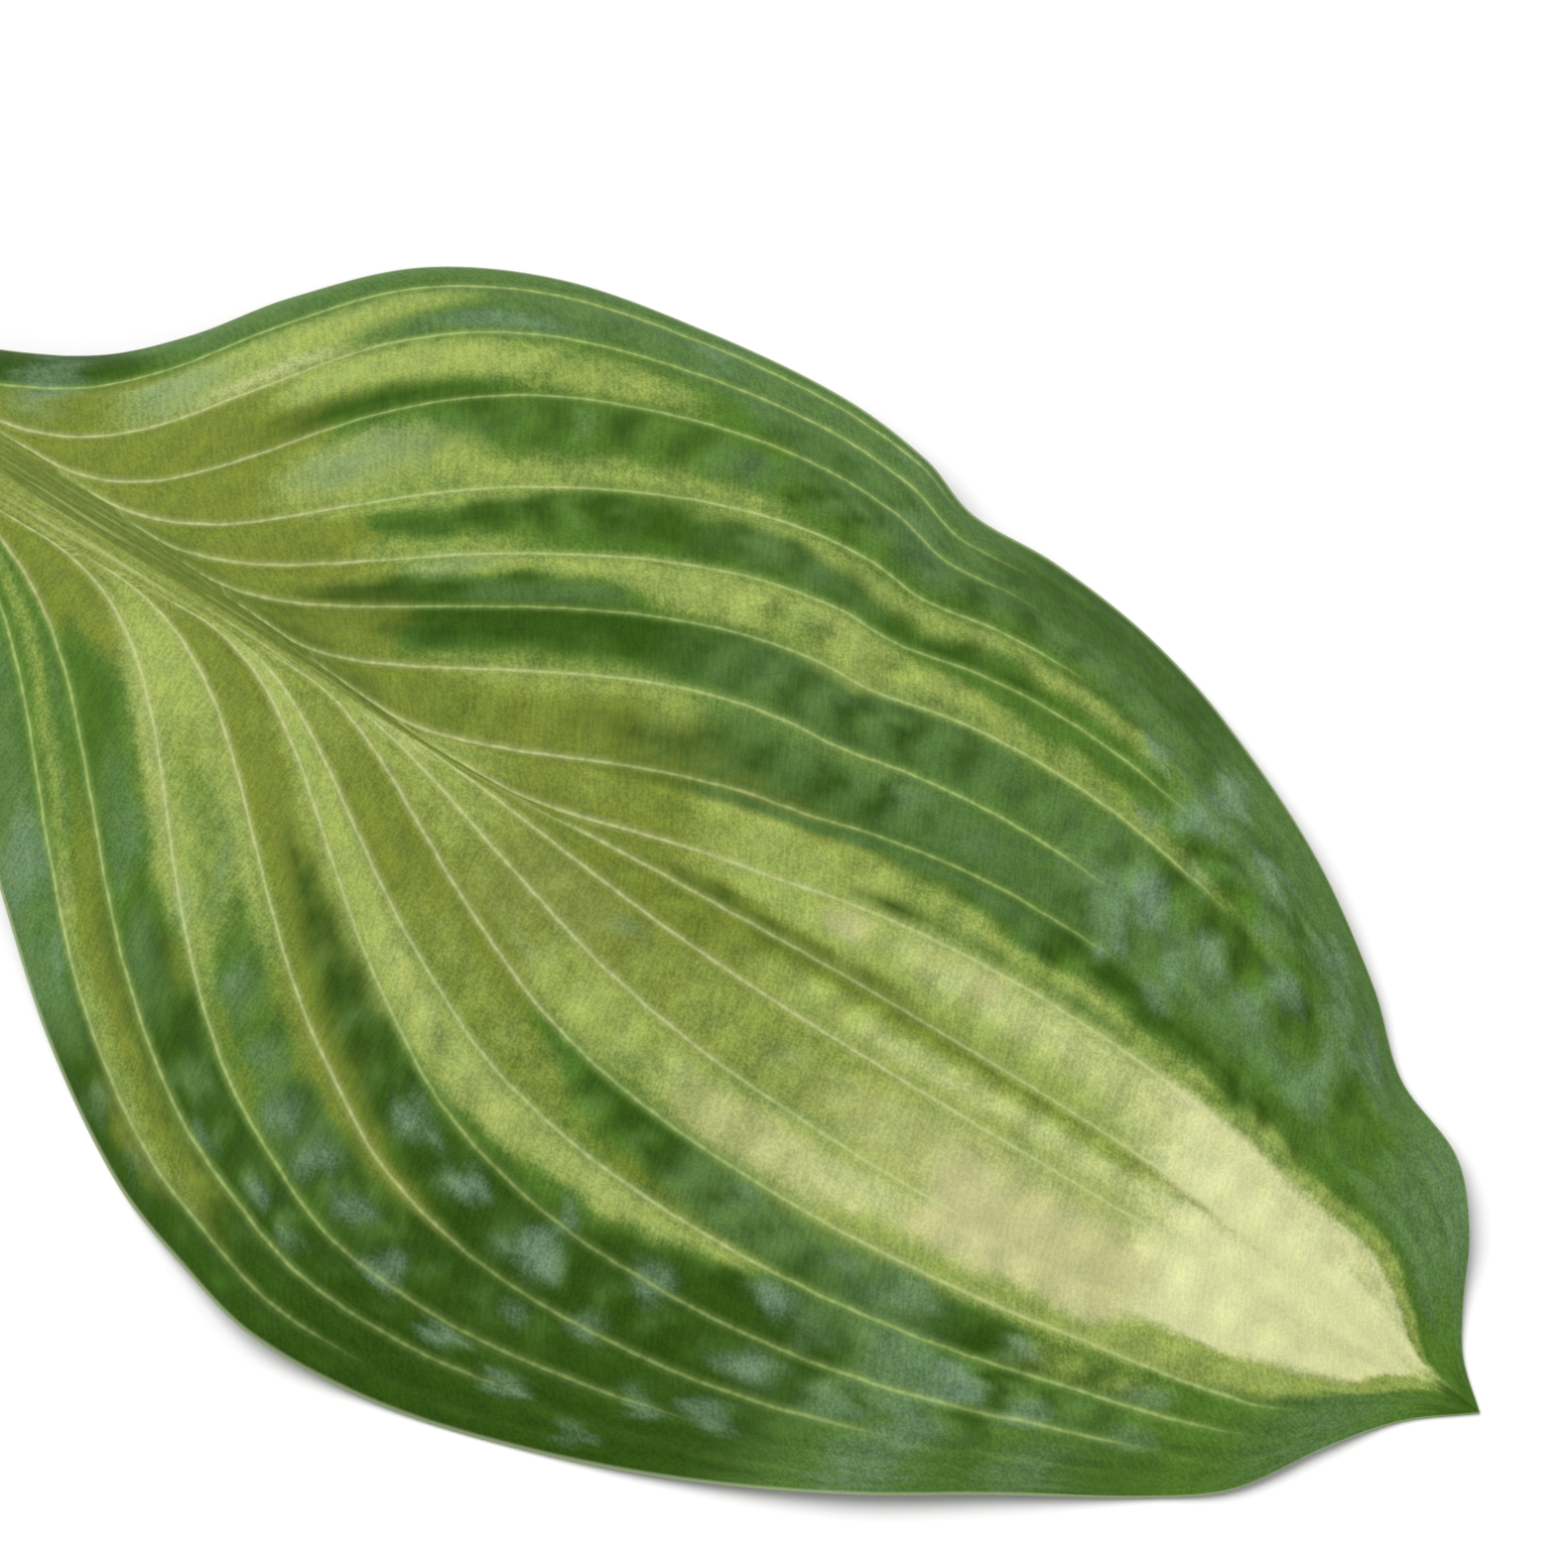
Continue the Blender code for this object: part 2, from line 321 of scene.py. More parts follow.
# The streaks are laid on in this order, and each covers what lies under it
STREAKS = (
    # The pale base, from the petiole to the middle of the blade
    Streak(L, Tone.OLIVE, ((-1.1, 0, 8), (0, 0, 8.9), (0.2, 0, 8.9), (0.28, 0, 6.6), (0.34, 0, 3.2), (0.46, 0, 2.9),
        (0.6, 0, 1.6)), soft=0.5, fade=0.08),
    Streak(R, Tone.OLIVE, ((-1.1, 0, 8), (0, 0, 8.2), (0.18, 0, 8.1), (0.25, 0, 7.2), (0.34, 0, 6), (0.44, 0, 3.6),
        (0.6, 0, 2), (0.72, 0, 1.6)), soft=0.5, fade=0.08),
    Streak(L, Tone.LIME, ((-1.1, 0, 6.4), (-0.2, 0, 6), (0.08, 0, 7.5), (0.19, 0, 6.6)), strength=0.26, soft=1.4,
        fade=0.12),
    Streak(R, Tone.LIME, ((-1.1, 0, 6.4), (-0.2, 0, 6), (0.1, 0, 7), (0.26, 0, 6.6), (0.34, 0, 5.2)), strength=0.38,
        soft=1.2, fade=0.1),
    Streak(L, Tone.DEEP, ((0.1, 0.5, 6.5), (0.2, 0.4, 5.6), (0.28, 0.2, 4), (0.33, 0.1, 2.6), (0.4, 0, 0.6)),
        strength=0.44, soft=1, fade=0.06),
    Streak(L, Tone.LIME, ((0.35, 0.8, 1.9), (0.4, 0.7, 1.9)), strength=0.55, soft=0.6),
    Streak(R, Tone.LIME, ((0.31, 0.8, 3), (0.36, 0.6, 3), (0.43, 0.6, 3)), strength=0.55, soft=0.7, fade=0.05),
    Streak(R, Tone.BEIGE, ((0.33, 1.1, 1.9), (0.37, 1.1, 1.9)), strength=0.4, soft=0.4),
    # Dark and blue-green tissue towards the margins
    Streak(L, Tone.DEEP, ((-1.1, 8.6, 10.5), (0.17, 9.1, 10.5)), strength=0.9, fade=0.05),
    Streak(R, Tone.DEEP, ((-1.1, 8.6, 10.5), (0.1, 8.9, 10.5)), strength=0.8, fade=0.05),
    Streak(L, Tone.BLUE, ((0.17, 9, 10.5), (0.28, 8.9, 10.5), (0.36, 8.4, 10.5), (0.44, 7.6, 10.5),
        (0.48, 6.4, 10.5), (0.62, 6.2, 10.5), (0.72, 5.2, 10.5), (1, 3.5, 10.5)), strength=0.85, soft=0.7,
        fade=0.05),
    Streak(L, Tone.DEEP, ((0.56, 7.2, 9.2), (0.64, 6.9, 10.5), (0.7, 6.4, 10.5)), strength=0.55, soft=0.9,
        fade=0.05),
    Streak(R, Tone.BLUE, ((0.12, 9.1, 10.5), (0.36, 9.1, 10.5)), strength=0.8, fade=0.06),
    Streak(R, Tone.DEEP, ((0.34, 8.9, 10.5), (0.44, 8.9, 10.5), (0.5, 8, 10.5), (0.52, 5, 10.5), (0.56, 4.9, 10.5),
        (0.66, 4.2, 10.5), (0.71, 4, 10.5)), strength=0.9, soft=0.4, fade=0.05),
    Streak(R, Tone.BLUE, ((0.69, 4, 10.5), (0.86, 4, 10.5)), strength=0.4, soft=0.7, fade=0.08),
    Streak(R, Tone.DEEP, ((0.775, 4, 10.5), (0.785, 4.2, 10.5)), strength=0.35, soft=0.9, fade=0.02),
    # The next two blue cross-bands are painted sheen across the strips
    Streak(R, Tone.BLUE, ((0.735, 4.8, 10.5), (0.765, 4.8, 10.5)), strength=0.7, soft=1.2, fade=0.03),
    Streak(R, Tone.BLUE, ((0.8, 5.6, 10.5), (0.82, 5.6, 10.5)), strength=0.6, soft=1.2, fade=0.03),
    Streak(R, Tone.DEEP, ((0.825, 5.2, 10.5), (0.86, 4.8, 10.5)), strength=0.4, soft=1),
    Streak(R, Tone.BLUE, ((0.89, 2.5, 10.5), (0.97, 1.4, 10.5)), strength=0.6, soft=0.8, fade=0.05),
    # Left half, from the margin inwards
    Streak(L, Tone.LIME, ((0.165, 8, 8.75), (0.22, 8, 8.85), (0.3, 8.3, 8.9)), strength=0.8, fade=0.05),
    # This thin cream streak along vein 8 is a painted highlight on the vein, over its pale line
    Streak(L, Tone.CREAM, ((0.19, 7.98, 8.16), (0.24, 7.95, 8.24), (0.28, 7.98, 8.14)), strength=0.5, soft=0.2,
        fade=0.05),
    Streak(L, Tone.BLUE, ((0.27, 8, 8.45), (0.4, 8, 8.7)), strength=0.8),
    Streak(L, Tone.OLIVE, ((0.2, 7, 8), (0.27, 7.3, 8)), strength=0.8),
    Streak(L, Tone.LIME, ((0.24, 7.45, 7.95), (0.31, 7.35, 7.9), (0.345, 7.35, 7.85)), fade=0.03),
    Streak(L, Tone.LIME, ((0.35, 7.2, 7.85), (0.42, 7.1, 7.7)), strength=0.5, soft=0.5),
    Streak(L, Tone.LIME, ((0.34, 7.05, 7.5), (0.41, 7.1, 7.5)), strength=0.5, soft=0.3, fade=0.03),
    Streak(L, Tone.DEEP, ((0.235, 7.15, 7.45), (0.27, 7.02, 7.38), (0.31, 7.02, 7.3), (0.33, 7, 7.15)),
        strength=0.75, fade=0.03),
    Streak(L, Tone.DEEP, ((0.45, 6.2, 8), (0.54, 6.2, 7), (0.6, 6.3, 7.2)), strength=0.35, fade=0.05),
    Streak(L, Tone.LIME, ((0.255, 6.1, 6.85), (0.3, 6.1, 6.8), (0.335, 6.05, 6.4), (0.36, 6.05, 6.35),
        (0.42, 6.05, 6.3), (0.47, 6, 6.2)), strength=0.82),
    Streak(L, Tone.BLUE, ((0.3, 6.4, 6.8), (0.34, 6.35, 6.8)), strength=0.45, fade=0.03),
    # The next four short dark cross-bands are painted shade in dimples
    Streak(L, Tone.DEEP, ((0.318, 6.62, 7), (0.334, 6.55, 7)), strength=0.7, fade=0.018),
    Streak(L, Tone.DEEP, ((0.347, 6.5, 7), (0.366, 6.45, 7)), strength=0.62, fade=0.018),
    Streak(L, Tone.DEEP, ((0.38, 6.5, 7), (0.4, 6.5, 7)), strength=0.72, fade=0.018),
    Streak(L, Tone.DEEP, ((0.418, 6.3, 6.95), (0.435, 6.3, 6.95)), strength=0.4, fade=0.02),
    Streak(L, Tone.LIME, ((0.27, 5.75, 6), (0.33, 5.72, 6), (0.38, 5.88, 6)), strength=0.8),
    Streak(L, Tone.LIME, ((0.3, 5, 5.3), (0.37, 5, 5.2)), strength=0.8),
    Streak(L, Tone.DEEP, ((0.3, 5.34, 5.6), (0.33, 5.34, 5.62)), strength=0.6, fade=0.025),
    Streak(L, Tone.DEEP, ((0.34, 5.3, 5.8), (0.376, 5.32, 5.86)), strength=0.85, fade=0.025),
    Streak(L, Tone.DEEP, ((0.382, 5.38, 5.95), (0.41, 5.34, 5.95), (0.44, 5.18, 5.86), (0.5, 5.1, 5.7),
        (0.56, 5.05, 5.4), (0.62, 5, 5.25)), strength=0.72),
    Streak(L, Tone.BLUE, ((0.45, 5.25, 5.8), (0.53, 5.1, 5.5)), strength=0.6),
    Streak(L, Tone.LIME, ((0.43, 5.84, 6), (0.49, 5.68, 5.95), (0.54, 5.42, 5.9), (0.58, 5.4, 5.9),
        (0.63, 5.35, 5.8), (0.68, 5.25, 5.7)), strength=0.68, fade=0.08),
    Streak(L, Tone.OLIVE, ((0.24, 4, 5), (0.33, 4, 5)), fade=0.05),
    Streak(L, Tone.LIME, ((0.32, 4.65, 4.95), (0.37, 4.6, 5), (0.41, 4.4, 5), (0.44, 4.12, 5), (0.54, 4.05, 4.95),
        (0.58, 4.08, 4.6), (0.63, 4.05, 4.35)), strength=0.78, fade=0.08),
    Streak(L, Tone.LIME, ((0.62, 4.05, 4.5), (0.68, 4, 4.35), (0.74, 4, 4.25), (0.77, 4, 4.15)), strength=0.5,
        soft=0.36, fade=0.06),
    Streak(L, Tone.DEEP, ((0.28, 4, 4.35), (0.33, 4.05, 4.6), (0.38, 4.08, 4.45), (0.42, 4.05, 4.2)), strength=0.8),
    Streak(L, Tone.BLUE, ((0.36, 4.1, 4.36), (0.42, 4.06, 4.3)), strength=0.8, soft=0.2, fade=0.03),
    Streak(L, Tone.CREAM, ((0.46, 4.45, 4.85), (0.54, 4.35, 4.85)), strength=0.14, fade=0.05),
    Streak(L, Tone.DEEP, ((0.31, 3.5, 3.95), (0.35, 3.35, 4), (0.42, 3.25, 4), (0.48, 3.1, 4), (0.55, 3.08, 3.95),
        (0.62, 3.2, 3.8)), strength=0.92, fade=0.07),
    Streak(L, Tone.BLUE, ((0.46, 3.1, 4), (0.6, 3.05, 4), (0.7, 3, 4)), strength=0.6, soft=0.6, fade=0.06),
    Streak(L, Tone.LIME, ((0.5, 3.84, 4), (0.6, 3.86, 4), (0.68, 3.88, 4)), strength=0.55, soft=0.16, fade=0.06),
    Streak(L, Tone.LIME, ((0.34, 3, 3.25), (0.4, 3, 3.2), (0.46, 2.98, 3.1)), strength=0.5),
    Streak(L, Tone.LIME, ((0.37, 2.7, 3), (0.43, 2.7, 3), (0.5, 2.8, 3), (0.58, 2.72, 2.95)), strength=0.6,
        fade=0.05),
    Streak(L, Tone.BLUE, ((0.47, 2.1, 2.95), (0.6, 2, 2.95)), strength=0.7, soft=0.5, fade=0.06),
    Streak(L, Tone.DEEP, ((0.43, 2.3, 2.65), (0.47, 2.15, 2.6), (0.54, 2.08, 2.6), (0.6, 2.1, 2.7),
        (0.68, 2.1, 2.9)), strength=0.6, soft=0.5, fade=0.05),
    Streak(L, Tone.LIME, ((0.455, 2.5, 2.95), (0.475, 2.5, 2.95)), strength=0.4, fade=0.02),
    Streak(L, Tone.BLUE, ((0.58, 2.1, 3), (0.68, 2, 3), (0.8, 1.9, 3.4)), strength=0.65, soft=0.5, fade=0.05),
    Streak(L, Tone.LIME, ((0.42, 1.2, 1.9), (0.47, 1.1, 1.85)), strength=0.35, soft=0.5, fade=0.05),
    Streak(L, Tone.LIME, ((0.5, 1, 1.85), (0.55, 0.98, 1.75), (0.6, 1.1, 1.7), (0.66, 1.18, 1.5), (0.7, 1.15, 1.42),
        (0.8, 1.1, 1.3)), strength=0.8, soft=0.3, fade=0.06),
    Streak(L, Tone.DEEP, ((0.455, 1.9, 2.02), (0.52, 1.76, 2), (0.6, 1.68, 2), (0.66, 1.58, 2), (0.72, 1.55, 1.9),
        (0.8, 1.42, 1.7), (0.84, 1.4, 1.6)), strength=0.75, soft=0.22, fade=0.05),
    Streak(L, Tone.BLUE, ((0.5, 1.8, 1.96), (0.6, 1.72, 1.94), (0.68, 1.6, 1.9)), strength=0.75, soft=0.14,
        fade=0.05),
    Streak(L, Tone.DEEP, ((0.585, 1.06, 1.28), (0.62, 1.05, 1.26)), strength=0.8, soft=0.2),
    Streak(L, Tone.BLUE, ((0.64, 1.05, 1.22), (0.74, 1.03, 1.16)), strength=0.6, soft=0.24, fade=0.06),
    # The cream middle
    Streak(L, Tone.LIME, ((0.5, 0, 1), (0.6, 0, 1.02), (0.7, -0.1, 1.04), (0.85, -0.3, 1.05)), strength=0.9,
        soft=0.2, fade=0.06),
    Streak(L, Tone.BEIGE, ((0.575, 0.5, 0.95), (0.6, 0.4, 0.95)), strength=0.6, soft=0.3, fade=0.02),
    Streak(L, Tone.CREAM, ((0.61, 0.4, 0.98), (0.7, 0.35, 1), (0.78, 0.2, 1.02)), strength=0.4, soft=0.5,
        fade=0.06),
    Streak(L, Tone.BEIGE, ((0.655, 0.55, 0.97), (0.675, 0.5, 0.97)), strength=0.5, soft=0.3, fade=0.02),
    Streak(L, Tone.CREAM, ((0.775, -0.1, 1.06), (0.82, -0.3, 1.14), (0.89, -0.5, 1.24), (0.925, -0.5, 1.1),
        (0.942, -0.5, 0.8), (0.952, -0.5, 0.4), (0.965, -0.5, 0)), strength=0.82, soft=0.2, fade=0.05),
    Streak(L, Tone.LIME, ((0.9, 0.3, 1), (0.94, 0, 0.6)), strength=0.4, soft=0.5, fade=0.03),
    Streak(L, Tone.BEIGE, ((0.8, 0.2, 0.7), (0.84, 0.1, 0.6)), strength=0.3, soft=0.4),
    Streak(L, Tone.OLIVE, ((0.42, 0, 0.95), (0.48, 0, 0.62), (0.54, 0, 0.42), (0.6, 0, 0.2), (0.68, -0.02, 0.1)),
        strength=0.9, soft=0.16, fade=0.03),
    Streak(L, Tone.DEEP, ((0.5, 0.1, 0.5), (0.53, 0.05, 0.36), (0.57, 0.02, 0.22), (0.66, -0.02, 0.1)),
        strength=0.45, soft=0.2, fade=0.03),
    Streak(L, Tone.LIME, ((0.8, 1.12, 1.4), (0.86, 1.2, 1.62), (0.91, 1.2, 1.6), (0.94, 0.85, 1.25),
        (0.965, 0.35, 0.6)), strength=0.7, soft=0.3, fade=0.03),
    Streak(L, Tone.OLIVE, ((0.68, 0, 0.14), (0.84, -0.02, 0.08)), strength=0.5, soft=0.16, fade=0.12),
    # Right half, from the midrib outwards
    Streak(R, Tone.LIME, ((0.56, 0.3, 0.95), (0.66, 0.25, 1), (0.86, 0, 1)), strength=0.9, soft=0.4, fade=0.06),
    Streak(R, Tone.LIME, ((0.52, 1, 2), (0.66, 1, 2)), strength=0.5, soft=0.5, fade=0.1),
    Streak(R, Tone.LIME, ((0.64, 1, 2.95), (0.7, 1, 3.1), (0.76, 1, 3.2), (0.82, 0.5, 3.1), (0.87, 0.2, 2.95),
        (0.91, 0, 2.6), (0.94, -0.5, 2.2), (0.965, -0.5, 1.2), (0.98, -0.5, 0.5)), strength=0.85, soft=0.5,
        fade=0.05),
    Streak(R, Tone.CREAM, ((0.62, 0.45, 0.8), (0.72, 0.4, 0.85), (0.8, 0.3, 0.95)), strength=0.4, soft=0.4,
        fade=0.05),
    Streak(R, Tone.BEIGE, ((0.42, 1, 3), (0.52, 1, 2.9)), strength=0.2, soft=0.7, fade=0.08),
    Streak(R, Tone.BEIGE, ((0.62, 1.2, 1.95), (0.7, 1, 2.1), (0.8, 0.9, 2.2)), strength=0.4, soft=0.5, fade=0.08),
    Streak(R, Tone.CREAM, ((0.8, -0.5, 2.2), (0.86, -0.5, 2.12), (0.885, -0.5, 1.88), (0.925, -0.5, 1.8),
        (0.94, -0.5, 1.35), (0.95, -0.5, 0.9), (0.96, -0.5, 0.3)), soft=0.24, fade=0.05),
    Streak(R, Tone.LIME, ((0.48, 2.05, 2.95), (0.56, 2.05, 2.95)), strength=0.85, fade=0.06),
    Streak(R, Tone.LIME, ((0.56, 2.05, 2.95), (0.7, 2.05, 2.95)), strength=0.8, fade=0.05),
    Streak(R, Tone.BEIGE, ((0.57, 2.2, 2.94), (0.66, 2.1, 2.94)), strength=0.5, soft=0.4, fade=0.07),
    Streak(R, Tone.CREAM, ((0.63, 2.2, 2.92), (0.655, 2.15, 2.92), (0.68, 2.1, 2.66), (0.76, 2, 2.7),
        (0.805, 2, 2.72), (0.825, 2, 2.25)), strength=0.45, soft=0.3, fade=0.08),
    Streak(R, Tone.BEIGE, ((0.695, 1.5, 2.6), (0.76, 1.35, 2.6), (0.812, 1.3, 2.6)), strength=0.75, soft=0.5,
        fade=0.03),
    Streak(R, Tone.BEIGE, ((0.86, 0.9, 1.6), (0.93, 0.7, 1.5)), strength=0.4, soft=0.5),
    Streak(R, Tone.DEEP, ((0.5, 0, 0.16), (0.62, 0, 0.14), (0.74, 0, 0.1)), strength=0.5, soft=0.12, fade=0.09),
    Streak(R, Tone.OLIVE, ((0.6, 0.1, 0.34), (0.84, 0.06, 0.28)), strength=0.6, soft=0.2, fade=0.14),
    Streak(R, Tone.OLIVE, ((0.4, 3, 4), (0.46, 3, 4), (0.51, 3.3, 4), (0.55, 3.7, 4)), strength=0.75),
    Streak(R, Tone.LIME, ((0.42, 3.1, 3.95), (0.46, 3.2, 3.95), (0.52, 3.3, 3.95), (0.545, 3.5, 3.95),
        (0.57, 3.8, 4)), strength=0.35),
    Streak(R, Tone.DEEP, ((0.53, 3.05, 3.25), (0.555, 3.04, 3.45), (0.59, 3.02, 3.7), (0.63, 3.02, 3.8),
        (0.66, 3.06, 3.96), (0.72, 3.2, 4), (0.775, 3.3, 4)), strength=0.78, soft=0.4, fade=0.05),
    Streak(R, Tone.OLIVE, ((0.56, 3.7, 4), (0.62, 3.75, 4), (0.66, 3.85, 4)), strength=0.7, soft=0.3),
    Streak(R, Tone.BLUE, ((0.6, 3.05, 3.9), (0.68, 3.05, 3.9)), strength=0.75),
    Streak(R, Tone.LIME, ((0.62, 3, 3.3), (0.72, 3, 3.4)), strength=0.22, fade=0.05),
    Streak(R, Tone.BLUE, ((0.69, 3.1, 4.4), (0.735, 3.1, 4.4)), strength=0.7, soft=0.6, fade=0.03),
    Streak(R, Tone.LIME, ((0.77, 3.3, 3.9), (0.85, 3.2, 3.9)), strength=0.45, soft=0.5),
    Streak(R, Tone.LIME, ((0.24, 4, 5), (0.34, 4, 5), (0.4, 4.02, 5), (0.485, 4.02, 4.95), (0.52, 4.02, 4.78),
        (0.56, 4.02, 4.66), (0.6, 4.02, 4.46), (0.64, 4, 4.22), (0.67, 4, 4.06)), strength=0.86, soft=0.26),
    Streak(R, Tone.BEIGE, ((0.4, 4.2, 4.85), (0.49, 4.12, 4.85), (0.54, 4.08, 4.65), (0.6, 4.05, 4.4)),
        strength=0.22, fade=0.05),
    Streak(R, Tone.OLIVE, ((0.22, 5, 6), (0.42, 5, 6), (0.48, 5.75, 6), (0.52, 5.85, 6)), strength=0.9, fade=0.05),
    Streak(R, Tone.LIME, ((0.3, 5, 5.25), (0.4, 5, 5.24), (0.47, 5, 5.14)), strength=0.65, soft=0.24),
    Streak(R, Tone.DEEP, ((0.35, 5.35, 5.55), (0.38, 5.25, 5.68), (0.42, 5.14, 5.78), (0.46, 5.06, 5.85),
        (0.5, 5.02, 5.95), (0.54, 5, 6)), strength=0.85, soft=0.5, fade=0.07),
    Streak(R, Tone.LIME, ((0.21, 6, 7), (0.29, 6, 7)), strength=0.85, soft=0.3, fade=0.06),
    Streak(R, Tone.LIME, ((0.29, 6, 6.35), (0.36, 6, 6.25), (0.43, 6, 6.15), (0.48, 6, 6.08)), strength=0.8,
        soft=0.3, fade=0.06),
    Streak(R, Tone.LIME, ((0.29, 6.75, 7), (0.36, 6.8, 7), (0.42, 6.86, 7)), strength=0.75, soft=0.24, fade=0.06),
    Streak(R, Tone.LIME, ((0.3, 6.1, 6.9), (0.37, 6.1, 6.9)), strength=0.45, soft=0.4),
    Streak(R, Tone.DEEP, ((0.31, 6.5, 6.72), (0.325, 6.45, 6.72)), strength=0.3, soft=0.34, fade=0.02),
    Streak(R, Tone.BLUE, ((0.34, 6.4, 6.75), (0.355, 6.4, 6.8)), strength=0.45, soft=0.34, fade=0.02),
    Streak(R, Tone.DEEP, ((0.368, 6.4, 6.8), (0.376, 6.4, 6.8)), strength=0.3, soft=0.34, fade=0.015),
    Streak(R, Tone.BLUE, ((0.384, 6.35, 6.8), (0.408, 6.3, 6.85)), strength=0.88, soft=0.34, fade=0.02),
    Streak(R, Tone.BLUE, ((0.43, 6.35, 6.8), (0.48, 6.15, 6.96)), strength=0.75, soft=0.3, fade=0.03),
    Streak(R, Tone.DEEP, ((0.445, 6.3, 6.8), (0.47, 6.15, 6.96), (0.54, 6, 7)), strength=0.75, fade=0.03),
    Streak(R, Tone.OLIVE, ((0.4, 6, 6.35), (0.45, 5.9, 6.25), (0.53, 5.9, 6.08)), strength=0.75, soft=0.24),
    Streak(R, Tone.OLIVE, ((0.4, 6.75, 7), (0.45, 6.85, 7)), strength=0.7, soft=0.24, fade=0.03),
    Streak(R, Tone.DEEP, ((0.235, 7.5, 7.9), (0.27, 7.4, 7.95)), strength=0.6, soft=0.4, fade=0.05),
    Streak(R, Tone.BLUE, ((0.27, 7.4, 7.95), (0.315, 7.4, 7.95)), strength=0.7, soft=0.36, fade=0.03),
    Streak(R, Tone.DEEP, ((0.325, 7.4, 7.9), (0.35, 7.3, 7.9), (0.38, 7.1, 7.95), (0.44, 7.05, 7.97), (0.54, 7, 8)),
        strength=0.85, soft=0.3, fade=0.03),
    Streak(R, Tone.OLIVE, ((0.355, 7.05, 7.4), (0.375, 7, 7.3)), strength=0.55, soft=0.3, fade=0.02),
    Streak(R, Tone.BLUE, ((0.33, 7.5, 7.95), (0.365, 7.45, 7.95)), strength=0.75, soft=0.26, fade=0.02),
    Streak(R, Tone.BLUE, ((0.39, 7.2, 7.8), (0.41, 7.2, 7.8)), strength=0.6, soft=0.3, fade=0.02),
    Streak(R, Tone.LIME, ((0.22, 7, 7.2), (0.27, 7, 7.26), (0.33, 7, 7.3), (0.36, 7, 7.1)), strength=0.8, soft=0.34,
        fade=0.05),
    Streak(R, Tone.BEIGE, ((0.22, 6.94, 7.15), (0.3, 6.92, 7.18), (0.38, 6.9, 7.06)), strength=0.28, soft=0.16,
        fade=0.05),
    Streak(R, Tone.OLIVE, ((0.27, 8.05, 8.55), (0.31, 8.05, 8.75), (0.47, 8.05, 8.92)), strength=0.85, fade=0.05),
    Streak(R, Tone.LIME, ((0.32, 8.6, 8.95), (0.46, 8.65, 8.95)), strength=0.4, soft=0.3, fade=0.05),
    Streak(R, Tone.DEEP, ((0.3, 8.05, 8.35), (0.46, 8.05, 8.4)), strength=0.45, soft=0.3),
    Streak(R, Tone.DEEP, ((0.335, 8.3, 8.7), (0.345, 8.3, 8.7)), strength=0.3, fade=0.02),
    Streak(R, Tone.DEEP, ((0.45, 8.05, 8.95), (0.56, 8, 9)), strength=0.9, fade=0.05),
    Streak(R, Tone.LIME, ((0.06, 8.3, 8.7), (0.2, 8.35, 8.8), (0.26, 8.45, 8.9), (0.3, 8.6, 9), (0.34, 8.85, 9),
        (0.42, 8.9, 9)), strength=0.5, soft=0.4, fade=0.05),
    Streak(R, Tone.BEIGE, ((0.285, 8.6, 9), (0.31, 8.65, 9)), strength=0.3, soft=0.3, fade=0.03),
    Streak(R, Tone.BLUE, ((0.2, 8.1, 8.4), (0.255, 8.15, 8.4)), strength=0.5, soft=0.2, fade=0.03),
    Streak(R, Tone.OLIVE, ((0.37, 9.05, 9.6), (0.43, 9.05, 9.5)), strength=0.6, fade=0.05),
    # Broad patches of waxy coat with painted sheen
    Streak(L, Tone.BLOOM, ((0.79, 4.4, 5.8), (0.835, 3.9, 5.2)), strength=0.5, soft=1, fade=0.02),
    Streak(L, Tone.BLOOM, ((0.87, 2, 10.5), (0.95, 1.5, 10.5)), strength=0.34, soft=0.8),
    Streak(R, Tone.BLOOM, ((0.9, 2.8, 10.5), (0.96, 1.6, 10.5)), strength=0.24, soft=0.8, fade=0.05),
    Streak(R, Tone.BLOOM, ((0.28, 9.1, 10), (0.34, 9.2, 10.5)), strength=0.25, soft=0.4),
    # The petiole's pale channel
    Streak(L, Tone.CREAM, ((-1.1, 0, 5.2), (-0.25, 0, 4.6), (-0.12, 0, 3)), strength=0.42, soft=1.6, fade=0.12),
    Streak(R, Tone.CREAM, ((-1.1, 0, 5.2), (-0.25, 0, 4.6), (-0.12, 0, 3)), strength=0.42, soft=1.6, fade=0.12),
    # The last green of the tip
    Streak(L, Tone.DEEP, ((0.975, -0.5, 10.5), (1.1, -0.5, 10.5)), strength=0.5, fade=0.02),
    Streak(R, Tone.DEEP, ((0.978, -0.5, 10.5), (1.1, -0.5, 10.5)), strength=0.6, fade=0.02),
)
